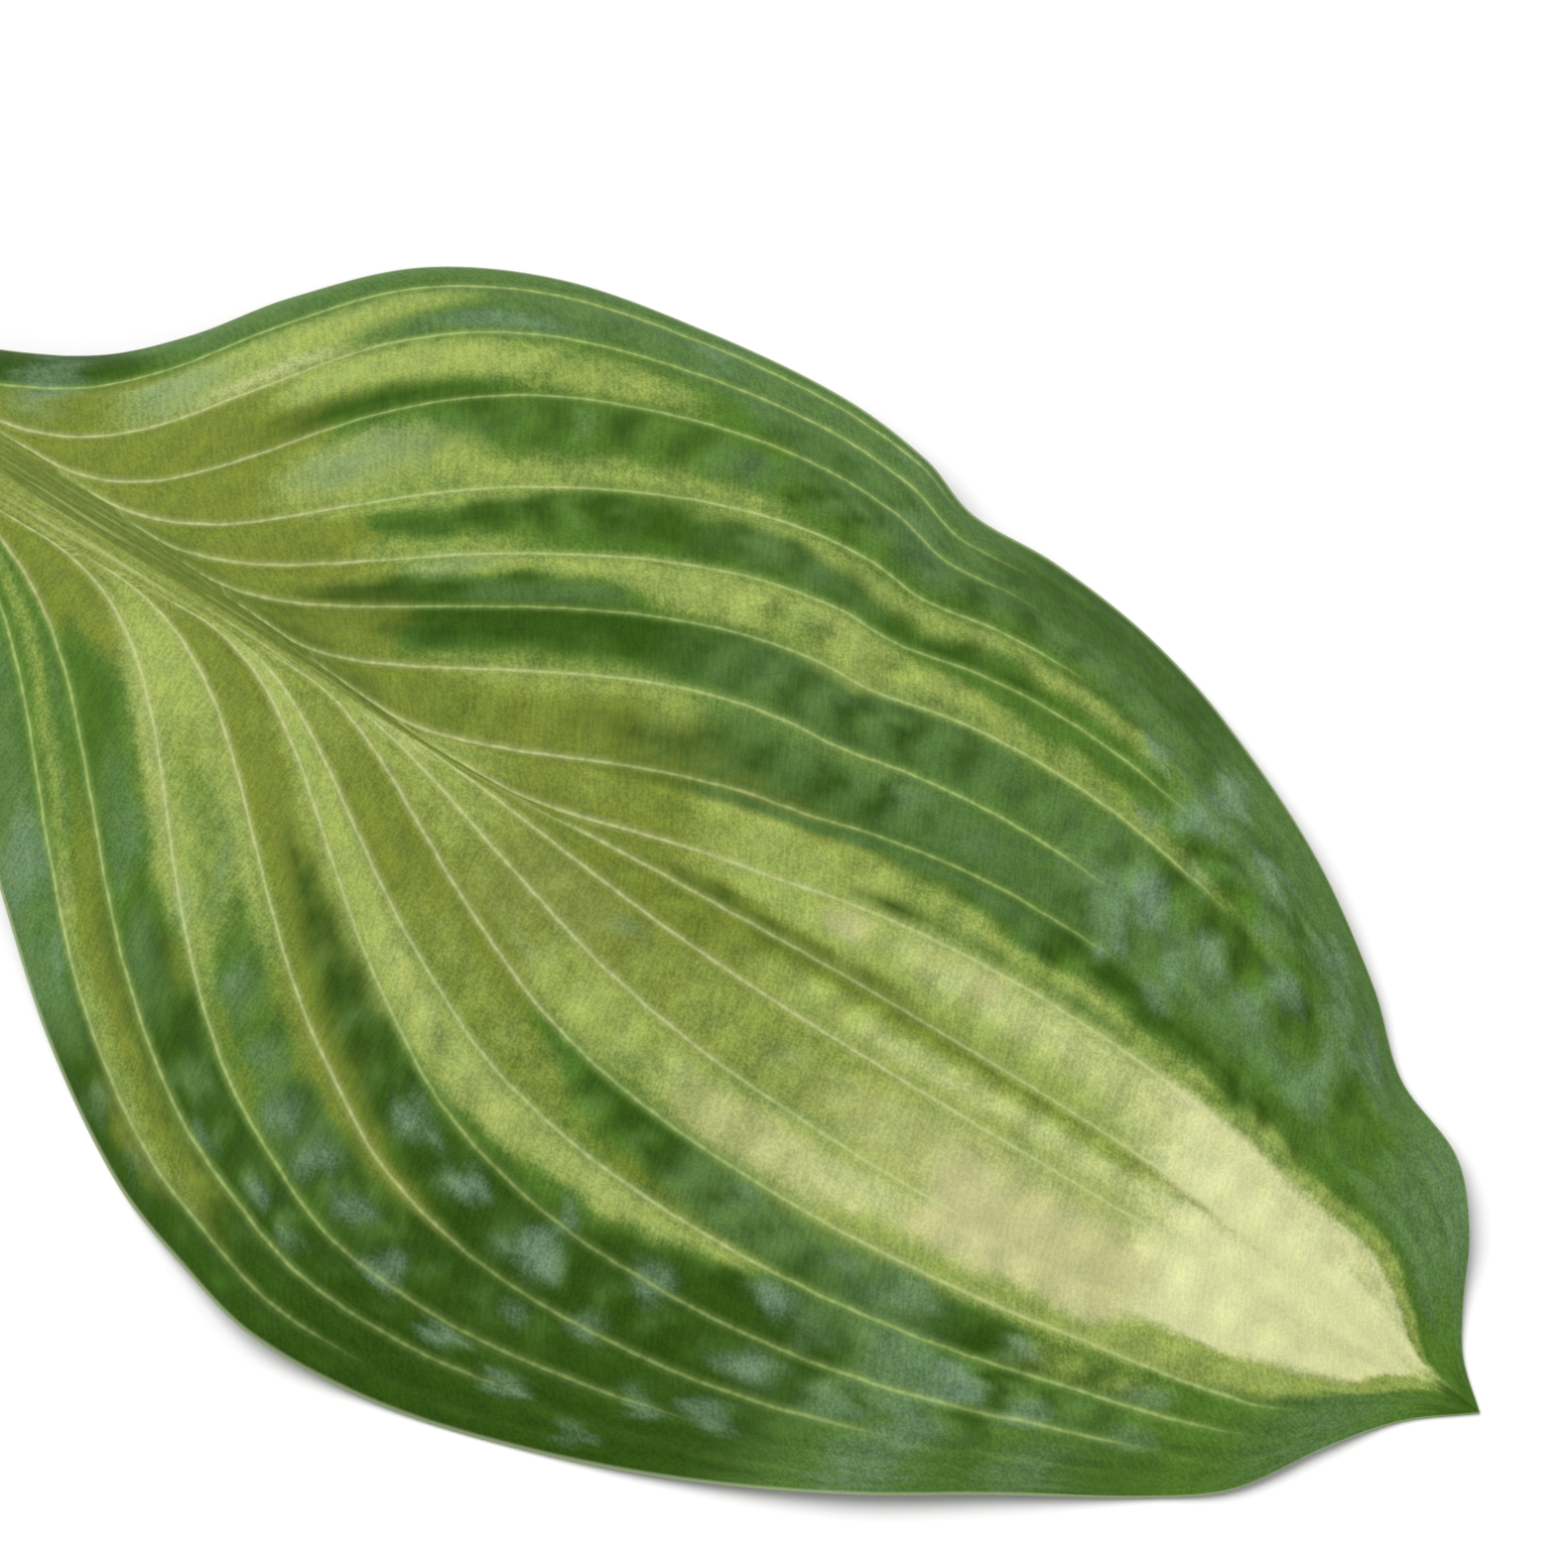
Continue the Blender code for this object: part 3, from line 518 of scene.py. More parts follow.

# Swellings with a waxy coat and painted sheen on them, and hollows between them with painted shade
PUCKERS = (
    Pucker(R, 0.308, 7.6, 5, 0.3, 0.2, 0.3), Pucker(R, 0.342, 7.72, 3, 0.22, 0.2, 0.1),
    Pucker(R, 0.345, 6.95, 3, 0.16, 0.15, 0.4), Pucker(R, 0.35, 6.45, 3, 0.2, 0.2, 0.3),
    Pucker(R, 0.39, 6.6, 3, 0.24, 0.2, 0.35), Pucker(R, 0.425, 6.6, 2.6, 0.24, 0.2, 0.35),
    Pucker(R, 0.449, 6.7, 2.6, 0.26, 0.22, 0.55), Pucker(R, 0.471, 6.65, 2.4, 0.3, 0.22, 0.6),
    Pucker(R, 0.427, 7.85, 2.6, 0.2, 0.2, 0.4), Pucker(R, 0.46, 7.62, 2.8, 0.22, 0.22, 0.6),
    Pucker(R, 0.49, 5.4, 3.2, 0.3, 0.25, 0.65), Pucker(R, 0.526, 5.38, 3.2, 0.26, 0.25, 0.75),
    Pucker(R, 0.57, 5.45, 3.6, 0.36, 0.28, 0.8), Pucker(R, 0.571, 4.88, 1.8, 0.2, 0.15, 0.5),
    Pucker(R, 0.557, 5.6, 2.6, 0.2, 0.1, 0.5), Pucker(R, 0.618, 4.97, 2.8, 0.36, 0.2, 0.6),
    Pucker(R, 0.609, 5.98, 2.6, 0.3, 0.2, 0.55), Pucker(R, 0.578, 6.35, 2.4, 0.24, 0.15, 0.45),
    Pucker(R, 0.499, 6.6, 2.6, 0.26, 0.2, 0.6), Pucker(R, 0.525, 6.95, 2.8, 0.36, 0.2, 0.6),
    Pucker(R, 0.486, 7.68, 2.4, 0.24, 0.2, 0.45), Pucker(R, 0.557, 7.35, 2.8, 0.34, 0.2, 0.6),
    Pucker(R, 0.589, 7.93, 3, 0.5, 0.22, 0.6), Pucker(R, 0.645, 7.1, 2.6, 0.5, 0.2, 0.5),
    Pucker(R, 0.676, 6.85, 3.4, 0.6, 0.25, 0.5), Pucker(R, 0.628, 8.9, 2.4, 0.7, 0.2, 0.4),
    Pucker(R, 0.673, 4.38, 4.2, 0.3, 0.25, 0.65), Pucker(R, 0.69, 4.7, 3, 0.5, 0.1, 0.3),
    Pucker(R, 0.676, 5.48, 4, 0.36, 0.28, 0.7), Pucker(R, 0.715, 5.73, 4.6, 0.5, 0.25, 0.45),
    Pucker(R, 0.715, 3.4, 5, 0.5, 0.1, 0.4), Pucker(R, 0.735, 4.6, 6, 0.8, 0.1, 0.45),
    Pucker(R, 0.742, 7.6, 5, 3, 0.05, 0.4), Pucker(R, 0.75, 5.8, 5, 1.2, 0.1, 0.45),
    Pucker(R, 0.805, 7.5, 5, 1.6, 0.1, 0.3), Pucker(R, 0.759, 4.65, 5, 0.5, 0.25, 0.75),
    Pucker(R, 0.8, 4.9, 3.6, 0.4, 0.25, 0.65), Pucker(R, 0.775, 3.65, 3.2, 0.3, 0.2, 0.55),
    Pucker(R, 0.81, 6.4, 3.6, 0.9, 0.2, 0.35), Pucker(R, 0.845, 3.75, 3.6, 0.36, 0.2, 0.5),
    Pucker(R, 0.85, 4.9, 3.4, 0.5, 0.2, 0.4), Pucker(R, 0.63, 3.2, 3, 0.24, 0.2, 0.35),
    Pucker(R, 0.683, 3.4, 3.4, 0.3, 0.2, 0.4), Pucker(R, 0.605, 1.5, 3.4, 0.26, 0.12, 0.3),
    Pucker(R, 0.503, 1.3, 3.4, 0.22, 0.12, 0.3), Pucker(R, 0.485, 2.65, 3, 0.2, 0.12, 0.3),
    Pucker(R, 0.272, 9.5, 5, 0.6, 0.2, 0.55), Pucker(R, 0.31, 9.2, 3, 0.2, 0.15, 0.5),
    Pucker(R, 0.375, 9.5, 3, 0.4, 0.2, 0.35), Pucker(R, 0.41, 9.4, 2.6, 0.4, 0.2, 0.3),
    Pucker(R, 0.26, 8.5, 6, 0.16, 0.2, 0.25), Pucker(R, 0.759, 3.75, 3.2, 0.3, -0.2, 0.7),
    Pucker(R, 0.787, 4.1, 3, 0.4, -0.2, 0.6), Pucker(R, 0.78, 5.3, 3, 0.5, -0.2, 0.5),
    Pucker(R, 0.652, 4.6, 3, 0.4, -0.2, 0.5), Pucker(R, 0.7, 5, 3, 0.4, -0.2, 0.5),
    Pucker(R, 0.82, 3.6, 2.6, 0.3, -0.15, 0.5), Pucker(L, 0.125, 9.1, 4.5, 1, 0.2, 0.5),
    Pucker(L, 0.185, 8.4, 8, 0.4, 0.3, 0.5), Pucker(L, 0.285, 6.5, 9, 0.36, 0.3, 0.45),
    Pucker(L, 0.325, 8.2, 9, 0.26, 0.25, 0.45), Pucker(L, 0.41, 8.9, 3, 1, 0.15, 0.35),
    Pucker(L, 0.447, 6.55, 4.5, 0.34, 0.25, 0.3), Pucker(L, 0.372, 6.75, 2.2, 0.2, 0.25, 0.3),
    Pucker(L, 0.35, 4.8, 7, 0.26, 0.25, 0.35), Pucker(L, 0.53, 6.9, 4, 1, 0.2, 0.25),
    Pucker(L, 0.51, 8.9, 4, 0.8, 0.15, 0.25), Pucker(L, 0.671, 5.6, 2.6, 0.4, 0.3, 0.55),
    Pucker(L, 0.7, 5.15, 3.2, 0.5, 0.35, 0.6), Pucker(L, 0.709, 6.4, 3.2, 1.2, 0.35, 0.6),
    Pucker(L, 0.698, 4.7, 2.4, 0.24, 0.2, 0.5), Pucker(L, 0.688, 4.28, 2.4, 0.24, 0.25, 0.5),
    Pucker(L, 0.745, 5.65, 3.4, 0.5, 0.35, 0.6), Pucker(L, 0.72, 4.1, 2.4, 0.24, 0.2, 0.4),
    Pucker(L, 0.748, 3.23, 3.6, 0.44, 0.35, 0.6), Pucker(L, 0.734, 1.9, 3, 0.2, 0.2, 0.5),
    Pucker(L, 0.789, 3.85, 3.4, 0.44, 0.35, 0.65), Pucker(L, 0.774, 3, 3, 0.3, 0.25, 0.5),
    Pucker(L, 0.792, 5.9, 4.2, 1.4, 0.35, 0.5), Pucker(L, 0.835, 5.7, 4, 1.2, 0.3, 0.5),
    Pucker(L, 0.765, 4.3, 2.6, 0.3, 0.2, 0.4), Pucker(L, 0.708, 3.2, 4, 0.45, 0.35, 0.7),
    Pucker(L, 0.696, 2.6, 1.5, 0.36, 0.35, 0.6), Pucker(L, 0.703, 2.1, 1.6, 0.36, 0.3, 0.6),
    Pucker(L, 0.685, 2.95, 1.4, 0.24, 0.25, 0.5), Pucker(L, 0.58, 2.6, 3.4, 0.3, 0.2, 0.25),
    Pucker(L, 0.62, 2.5, 3.4, 0.3, 0.2, 0.25), Pucker(L, 0.925, 4.5, 4, 1.2, 0.2, 0.25),
    Pucker(L, 0.885, 4, 4, 0.8, 0.2, 0.3), Pucker(L, 0.676, 2.75, 1.6, 0.4, -0.3, 0.6),
    Pucker(L, 0.686, 2.35, 1.6, 0.34, -0.3, 0.7), Pucker(L, 0.692, 2, 1.4, 0.2, -0.2, 0.6),
    Pucker(L, 0.682, 3.4, 2.8, 0.3, -0.25, 0.5), Pucker(L, 0.763, 5.12, 2.2, 0.44, -0.3, 0.7),
    Pucker(L, 0.749, 4.95, 2, 0.36, -0.25, 0.6), Pucker(L, 0.789, 5, 2, 0.4, -0.2, 0.35),
    Pucker(L, 0.776, 3.78, 1.8, 0.22, -0.2, 0.6), Pucker(L, 0.807, 3.75, 2.4, 0.3, -0.1, 0.1),
    Pucker(L, 0.721, 1.75, 2.4, 0.2, -0.2, 0.5), Pucker(L, 0.724, 2.9, 2.6, 0.36, -0.25, 0.5),
    Pucker(L, 0.72, 5.03, 2.2, 0.3, -0.25, 0.6),
)


@dataclass
class HostaLeaf:
    """The leaf: its outline, its veins, and the mesh and colours that follow them.

    Sizes are in millimetres and shares of the blade's length, as in the part's source. Most names say
    what they hold, and a pair is where something begins and the span in which it comes up.

    Attributes:
        midrib_lead: How far the stations on the midrib lead those on the margins.
        arch_power: How late the arch comes down, on the way from the midrib to a margin.
        crowding: How much the veins crowd together towards the tip.
        joining: Shares from which and to which the petiole is eased into the blade.
        bulge_share: Rise of a strip between its veins, as a share of its width.
        bulge_limit: The most that it rises.
        bulge_widths: Width at which a strip starts to bulge, and how much wider it bulges in full.
        margin_drop: Part of the margin's thinning that is taken off the upper face.
        rib_margin: Width beside the margin over which the ribs run out.
        pucker_step: Distance of the waves that pucker each strip.
        pucker_share: How much higher a wave's crest is than its strip, as a share of the strip's bulge.
        wave_wander: Unevenness of the waves' distances.
        wave_strength: Unevenness of the painted light and shade on the waves.
        wave_middle: How strongly the painted light and shade on the waves show on the whole.
        crumple: Unevenness of the crumpled part of the left half.
        crumple_lean: How far its folds lean, in shares of the blade to a strip.
        swelling: Unevenness of the whole blade's height.
        flat_below: Width of a strip below which it stays flatter.
        line_fade: Share of the blade over which a vein line fades.
        midrib_line_ends: Share of the blade at which the midrib's line ends.
        sway: Unevenness of the streaks' sides.
        shift: Unevenness of the streaks' ends.
        wave_sway: How far the waves push the streaks' sides.
        lime_patches: Unevenness within the lime streaks.
        dark_patches: Unevenness within the olive, blue and deep streaks.
        hollow_painted_shade: How dark the painted shade in the hollows between the waves is.
        crest_painted_sheen: How blue the painted sheen on the crests is.
        crumple_crest_sheen: How strong the painted sheen, with the waxy coat, on the crumpled crests is.
        middle_x: Middle of the leaf's box, along the blade, and middle_y across it.
        cuts: Cuts between two stations and between two veins.
        crease_angle: Angle in degrees above which an edge stays sharp.
        cut_facing: How squarely a face of the cut end faces back.
        cut_end: Place in metres behind which the cut end lies.
    """

    name: str = "leaf_tissue"
    node: str = "hosta_leaf"
    petiole: Rail = Rail(((-116, 10, 3.5), (-96, 7.6, 3.5), (-74, 4.8, 3.6), (-50, 2, 4.3), (-24, 0, 6.2)))
    midrib: Rail = Rail(((-24, 0, 6.2), (0, -1.5, 10.2), (30, -4, 16.8), (60, -5.5, 21.5), (92, -7, 23.5),
                         (125, -4.5, 22), (160, -1.5, 17.5), (195, 0.5, 11.2), (222, 0, 3.9),
                         (230, -0.2, 1.05), (234, -0.3, 0.74), (241, -0.5, 0.66)))
    left_margin: Rail = Rail((
        (-24, 6, 10), (-9, 8.4, 9.4), (4.5, 14, 7.5), (15.5, 22, 5.2), (23, 31.5, 3.8), (30, 43.5, 2.8),
        (41.5, 57.5, 1.8), (57.5, 66.5, 1), (78, 71, 0.65), (98, 72, 2.4), (113, 69.5, 4.6), (122, 66.5, 4),
        (134, 67.5, 1.8), (149, 66, 0.65), (164, 61, 1.7), (184, 51, 3), (200, 40, 2), (209.5, 31.5, 1.2),
        (221, 26, 2.6), (227.5, 18.5, 2.9), (232, 10, 1.3), (235.5, 4.5, 0.72), (241, -0.5, 0.66)))
    right_margin: Rail = Rail((
        (-24, -6, 10), (-9, -9, 9.4), (7, -16, 7.5), (20.5, -24, 5.4), (35, -34.5, 3.8), (50, -46.8, 2.4),
        (66, -59, 1), (84, -69.5, 0.65), (98, -74.5, 2.2), (111, -77.5, 3.2), (128, -75.5, 1),
        (145.5, -70.5, 0.65), (163.5, -63.5, 1.5), (182, -54, 2.8), (197.5, -43.5, 2.4), (213.5, -32.5, 0.9),
        (221.5, -26, 1.4), (228, -15, 1.5), (233.5, -7, 0.74), (241, -0.5, 0.66)))
    left_veins: tuple[Vein, ...] = (
        Vein(0.41, 0.15, 0.15, 0.82), Vein(0.34, 0.29, 0.17, 0.72), Vein(0.28, 0.39, 0.15, 0.70),
        Vein(0.23, 0.54, 0.18, 0.75), Vein(0.20, 0.66, 0.19, 0.71), Vein(0.17, 0.76, 0.18, 0.64),
        Vein(0.14, 0.84, 0.14, 0.60), Vein(0.09, 0.91, 0.13, 0.59), Vein(0.01, 0.97, 0.125, 0.55))
    right_veins: tuple[Vein, ...] = (
        Vein(0.36, 0.10, 0.13, 0.86), Vein(0.32, 0.25, 0.16, 0.74), Vein(0.30, 0.37, 0.15, 0.92),
        Vein(0.25, 0.49, 0.17, 0.90), Vein(0.24, 0.62, 0.18, 0.865), Vein(0.19, 0.74, 0.19, 0.76),
        Vein(0.16, 0.81, 0.15, 0.68), Vein(0.09, 0.87, 0.15, 0.615), Vein(0.07, 0.93, 0.125, 0.55))
    petiole_half_width: float = 6.0
    channel_depth: float = 3.8
    midrib_lead: float = 0.85
    arch_power: float = 1.9
    bundle_length: float = 0.115
    crowding: float = 1.5
    joining: tuple[float, float] = (-0.35, 0.12)
    joining_passes: int = 60
    bulge_share: float = 0.13
    bulge_limit: float = 1.05
    bulge_widths: tuple[float, float] = (0.8, 3.0)
    thickness: float = 0.72
    margin_thickness: float = 0.42
    margin_rounding: float = 1.6
    margin_drop: float = 0.8
    rib_depth: float = 0.32
    rib_shows: Stretch = Stretch(-0.05, 0.1, 0.8, 0.3)
    rib_margin: float = 4.0
    keel_depth: float = 3.5
    keel_half_width: float = 3.6
    keel_runs_out: float = 0.7
    pucker_step: float = 7.2
    pucker_share: float = 0.24
    pucker_shows: Stretch = Stretch(0.25, 0.2, 0.97, 0.1)
    wave_seed: int = 11
    wave_wander: Unevenness = Unevenness(9.0, 3.1, 5, 1.8)
    wave_strength: Unevenness = Unevenness(21.0, 0.9, 17, 0.5)
    wave_middle: float = 0.55
    wave_widths: tuple[float, float] = (2.5, 4.0)
    crumple: tuple[Unevenness, ...] = (Unevenness(44.0, 0.8, 31, 1.1), Unevenness(95.0, 1.7, 37, 0.6))
    crumple_height: float = 0.34
    crumple_wave: float = 0.9
    crumple_lean: float = 0.006
    crumple_along: Stretch = Stretch(0.62, 0.08, 0.90, 0.1)
    crumple_across: Stretch = Stretch(1.6, 0.8, 8.0, 3.0)
    swelling: Unevenness = Unevenness(17.0, 0.7, 41, 0.10)
    swelling_shows: Stretch = Stretch(0.1, 0.2, 0.97, 0.15)
    flat_below: float = 1.2
    line_fade: float = 0.05
    midrib_line_ends: float = 0.945
    sway: tuple[Unevenness, ...] = (Unevenness(34.0, 1.3, 3, 0.10), Unevenness(80.0, 2.0, 7, 0.05))
    shift: tuple[Unevenness, ...] = (Unevenness(12.0, 3.0, 9, 0.010), Unevenness(50.0, 6.0, 13, 0.004))
    wave_sway: float = 0.05
    sway_strips: tuple[float, float] = (3.5, 1.5)
    lime_patches: tuple[Unevenness, ...] = (Unevenness(42.0, 2.2, 19), Unevenness(90.0, 4.0, 23, 0.5))
    lime_thinned: float = 0.4
    lime_begins: tuple[float, float] = (0.22, 0.15)
    dark_patches: tuple[Unevenness, ...] = (Unevenness(55.0, 2.6, 27), Unevenness(24.0, 1.2, 29, 0.5))
    dark_thinned: float = 0.35
    dark_begins: tuple[float, float] = (0.1, 0.15)
    hollow_painted_shade: float = 0.62
    crest_painted_sheen: float = 0.5
    crumple_crest_sheen: float = 0.4
    middle_x: float = 62.4
    middle_y: float = -2.7
    petiole_stations: int = 10
    blade_stations: int = 56
    cuts: int = 5
    crease_angle: float = 50.0
    cut_facing: float = 0.9
    cut_end: float = -0.17

    @property
    def strips(self) -> int:
        """Number of strips in each half."""
        return len(self.left_veins) + 1

    @property
    def blade_length(self) -> float:
        """Length of the blade's midrib in millimetres."""
        return self.midrib.points[-1][0] - self.midrib.points[0][0]

    def build(self) -> Piece:
        """Model the leaf and store its colouring on it.

        Returns:
            The finished leaf, with no material yet.
        """
        sheet = self.lay_out_sheet()
        along, across = self.read_places(sheet)
        upper, strip_width = self.shape_upper_face(along, across)
        sheet.data.vertices.foreach_set("co", upper.reshape(-1).astype(np.float32))
        self.store_places(sheet, along, across, strip_width)
        self.store_tones(sheet, along, across, strip_width)
        self.close_tip(sheet)
        self.give_thickness(sheet)
        return sheet

    def lay_out_sheet(self) -> Piece:
        """Lay out a flat sheet with a line of edges for each vein, and cut it finer between them.

        Returns:
            The flat sheet, from -1 to 1 across and 0 to 1 along, with its place in its mesh.
        """
        bpy.ops.object.select_all(action="DESELECT")
        bpy.ops.mesh.primitive_grid_add(x_subdivisions=2 * self.strips,
                                        y_subdivisions=self.petiole_stations + self.blade_stations,
                                        size=2.0, location=(0.0, 0.0, 0.0))
        sheet = bpy.context.active_object
        sheet.name = sheet.data.name = self.name
        bpy.ops.object.mode_set(mode="EDIT")
        bpy.ops.mesh.select_all(action="SELECT")
        bpy.ops.mesh.subdivide(number_cuts=self.cuts)
        bpy.ops.object.mode_set(mode="OBJECT")
        return sheet

    def read_places(self, sheet: Piece) -> tuple[Array, Array]:
        """Read from the flat sheet where on the leaf each vertex belongs.

        Args:
            sheet: The flat sheet.

        Returns:
            Share of the blade's length, which runs from -1 to 0 on the petiole, and veins from the
            midrib, positive in the left half.
        """
        flat = np.zeros(len(sheet.data.vertices) * 3, np.float32)
        sheet.data.vertices.foreach_get("co", flat)
        flat = flat.reshape(-1, 3)
        lines = (self.cuts + 1) * self.strips
        across = np.round(flat[:, 0].astype(float) * lines) / (self.cuts + 1)
        rows = (self.petiole_stations + self.blade_stations) * (self.cuts + 1)
        row = np.round((flat[:, 1].astype(float) + 1.0) / 2.0 * rows)
        first = self.petiole_stations * (self.cuts + 1)
        along = np.where(row < first, row / first - 1.0, (row - first) / (rows - first))
        return along, -across

    def spread(self, along: Array, half: Half) -> Array:
        """Place of each vein across its half.

        Args:
            along: Share of the blade's length, 0 on the petiole.
            half: Half of the blade.

        Returns:
            For each share, the places of the midrib, the veins and the margin, from 0 to 1.
        """
        veins = self.left_veins if half is Half.LEFT else self.right_veins
        share = along[:, None]
        departure = np.array([vein.departure for vein in veins])
        reach = np.array([vein.reach for vein in veins])
        bend = np.array([vein.bend for vein in veins])
        number = np.arange(1, self.strips)
        bundle = np.exp(-share / self.bundle_length)
        risen = 1.0 - np.exp(-(np.maximum(0.0, share - departure) / bend) ** 1.5)
        crowded = 1.0 - (1.0 - reach) ** (1.0 + self.crowding * share**4)
        places = bundle * number / self.strips + (1.0 - bundle) * crowded * risen
        edge = np.zeros_like(share)
        return np.concatenate([edge, places, edge + 1.0], axis=1)

    def cross_lines(self, along: Array) -> tuple[Array, Array, Array]:
        """Midrib and margins at each share of the length.

        Args:
            along: Share of the blade's length, under 0 on the petiole.

        Returns:
            Points of the midrib, the left margin and the right margin, in metres.
        """
        blade = np.maximum(along, 0.0)
        middle = self.midrib.at(blade**self.midrib_lead)
        left, right = self.left_margin.at(blade), self.right_margin.at(blade)
        stalk = along < 0.0
        stem = self.petiole.at(along[stalk] + 1.0)
        side = np.array([0.0, self.petiole_half_width * MM, self.channel_depth * MM])
        middle[stalk] = stem
        left[stalk] = stem + side
        right[stalk] = stem + side * (1.0, -1.0, 1.0)
        return middle, left, right

    def soften_joining(self, lines: tuple[Array, Array, Array], along: Array) -> tuple[Array, ...]:
        """Ease the three lines where the petiole widens into the blade.

        Args:
            lines: Points of the midrib and the margins at ascending shares.
            along: Those shares.

        Returns:
            The eased lines.
        """
        near = (along > self.joining[0]) & (along < self.joining[1])
        eased = []
        for line in lines:
            line = line.copy()
            for _ in range(self.joining_passes):
                mean = (line[:-2] + 2.0 * line[1:-1] + line[2:]) / 4.0
                line[1:-1] = np.where(near[1:-1, None], mean, line[1:-1])
            eased.append(line)
        return tuple(eased)

    def shape_upper_face(self, along: Array, across: Array) -> tuple[Array, Array]:
        """Find each vertex's place on the upper face.

        Args:
            along: Share of the blade's length at each vertex.
            across: Veins from the midrib at each vertex.

        Returns:
            The places in metres, and the width of the strip round each vertex in millimetres.
        """
        shares, row = np.unique(along, return_inverse=True)
        lines = self.soften_joining(self.cross_lines(shares), shares)
        middle, left, right = (line[row] for line in lines)
        left_side = across >= 0.0
        edge = np.where(left_side[:, None], left, right)
        blade = np.maximum(shares, 0.0)
        spreads = {half: self.spread(blade, half) for half in Half}
        number = np.abs(across)
        strip = np.clip(np.floor(number + NUDGE).astype(int), 0, self.strips - 1)
        part = number - strip
        inner = np.where(left_side, spreads[Half.LEFT][row, strip], spreads[Half.RIGHT][row, strip])
        outer = np.where(left_side, spreads[Half.LEFT][row, strip + 1], spreads[Half.RIGHT][row, strip + 1])
        place = inner + part * (outer - inner)
        chord = np.linalg.norm(edge - middle, axis=1)
        width = (outer - inner) * chord / MM
        points = middle + place[:, None] * (edge - middle)
        points[:, 2] = middle[:, 2] + (edge[:, 2] - middle[:, 2]) * place**self.arch_power
        bulge = np.minimum(self.bulge_limit, self.bulge_share * width) * np.sin(np.pi * part)
        bulge *= rises(width, *self.bulge_widths)
        bulge *= 1.0 + self.pucker_share * self.wave(along, across)
        points[:, 2] += (bulge + self.swell(along, across, width)) * MM
        drop = (self.thickness - self.margin_thickness) * self.margin_drop
        points[:, 2] -= drop * MM * np.exp(-((1.0 - place) * chord / MM / self.margin_rounding) ** 2)
        points[:, 0] -= self.middle_x * MM
        points[:, 1] -= self.middle_y * MM
        return points, self.mean_strip_width(width, part, strip, row, across, spreads, chord)

    def wave(self, along: Array, across: Array) -> Array:
        """Waves along each strip, which pucker it between its veins.

        Args:
            along: Share of the blade's length.
            across: Veins from the midrib.

        Returns:
            Values from -1 in a hollow to 1 on a crest.
        """
        strip = np.floor(np.abs(across) + NUDGE) * np.where(across < 0.0, -1.0, 1.0) + FIRST_STRIP
        drawn = np.random.default_rng(self.wave_seed).uniform(0.0, 2.0 * np.pi, STRIPS_DRAWN)
        phase = drawn[strip.astype(int)]
        turns = along * self.blade_length / self.pucker_step
        wave = np.cos(2.0 * np.pi * turns + phase + self.wave_wander.at(along, strip))
        return wave * self.pucker_shows.at(along)

    def unrest(self, along: Array, across: Array) -> Array:
        """Crosswise crumpling in the left half towards the tip.

        Args:
            along: Share of the blade's length.
            across: Veins from the midrib, positive in the left half.

        Returns:
            Values from about -1 in a hollow to 1 on a crest.
        """
        there = self.crumple_along.at(along) * self.crumple_across.at(across)
        lean = along + self.crumple_lean * across
        return there * sum(part.at(lean, across) for part in self.crumple)

    def swell(self, along: Array, across: Array, width: Array) -> Array:
        """Height of the swellings over the plain strips.

        Args:
            along: Share of the blade's length.
            across: Veins from the midrib.
            width: Width of the strip at each vertex, in millimetres.

        Returns:
            Heights in millimetres.
        """
        height = np.zeros_like(along)
        for pucker in PUCKERS:
            height += pucker.lift * pucker.rise(along, across, self.blade_length)
        height += self.crumple_height * self.unrest(along, across)
        height += self.swelling_shows.at(along) * self.swelling.at(along, across)
        return height * ease(width / self.flat_below)

    def mean_strip_width(self, width: Array, part: Array, strip: Array, row: Array, across: Array,
                         spreads: dict[Half, Array], chord: Array) -> Array:
        """Width of the strips, with the mean of both neighbours on a vein.

        Args:
            width: Width of the strip outside each vertex, in millimetres.
            part: Place in that strip, from 0 to 1.
            strip: Number of that strip.
            row: Row of each vertex.
            across: Veins from the midrib.
            spreads: Places of the veins for each half and row.
            chord: Distance from midrib to margin in metres.

        Returns:
            Widths in millimetres.
        """
        inside = np.maximum(strip - 1, 0)
        table = np.where((across >= 0.0)[:, None], spreads[Half.LEFT][row], spreads[Half.RIGHT][row])
        picks = np.arange(len(strip))
        before = (table[picks, inside + 1] - table[picks, inside]) * chord / MM
        return np.where((part < 1e-6) & (strip > 0), (width + before) / 2.0, width)

    def store_places(self, sheet: Piece, along: Array, across: Array, strip_width: Array) -> None:
        """Store where on the leaf each vertex is, for the materials.

        Args:
            sheet: The shaped sheet.
            along: Share of the blade's length.
            across: Veins from the midrib.
            strip_width: Width of the strip in millimetres.
        """
        number = np.abs(across)
        ends = np.array([[self.midrib_line_ends] + [vein.runs_out for vein in veins] + [0.0]
                         for veins in (self.left_veins, self.right_veins)])
        nearest = np.clip(np.round(number).astype(int), 0, self.strips)
        end = ends[np.where(across >= 0.0, 0, 1), nearest]
        line = falls(along, end, self.line_fade) * (nearest < self.strips)
        edge = (self.strips - number) * strip_width
        run = np.where(along < 0.0, along * -self.petiole.points[0][0], along * self.blade_length)
        for name, values in (("across", across), ("along", along), ("run", run), ("strip", strip_width),
                             ("vein_line", line), ("from_margin", edge)):
            self.store(sheet, name, values)

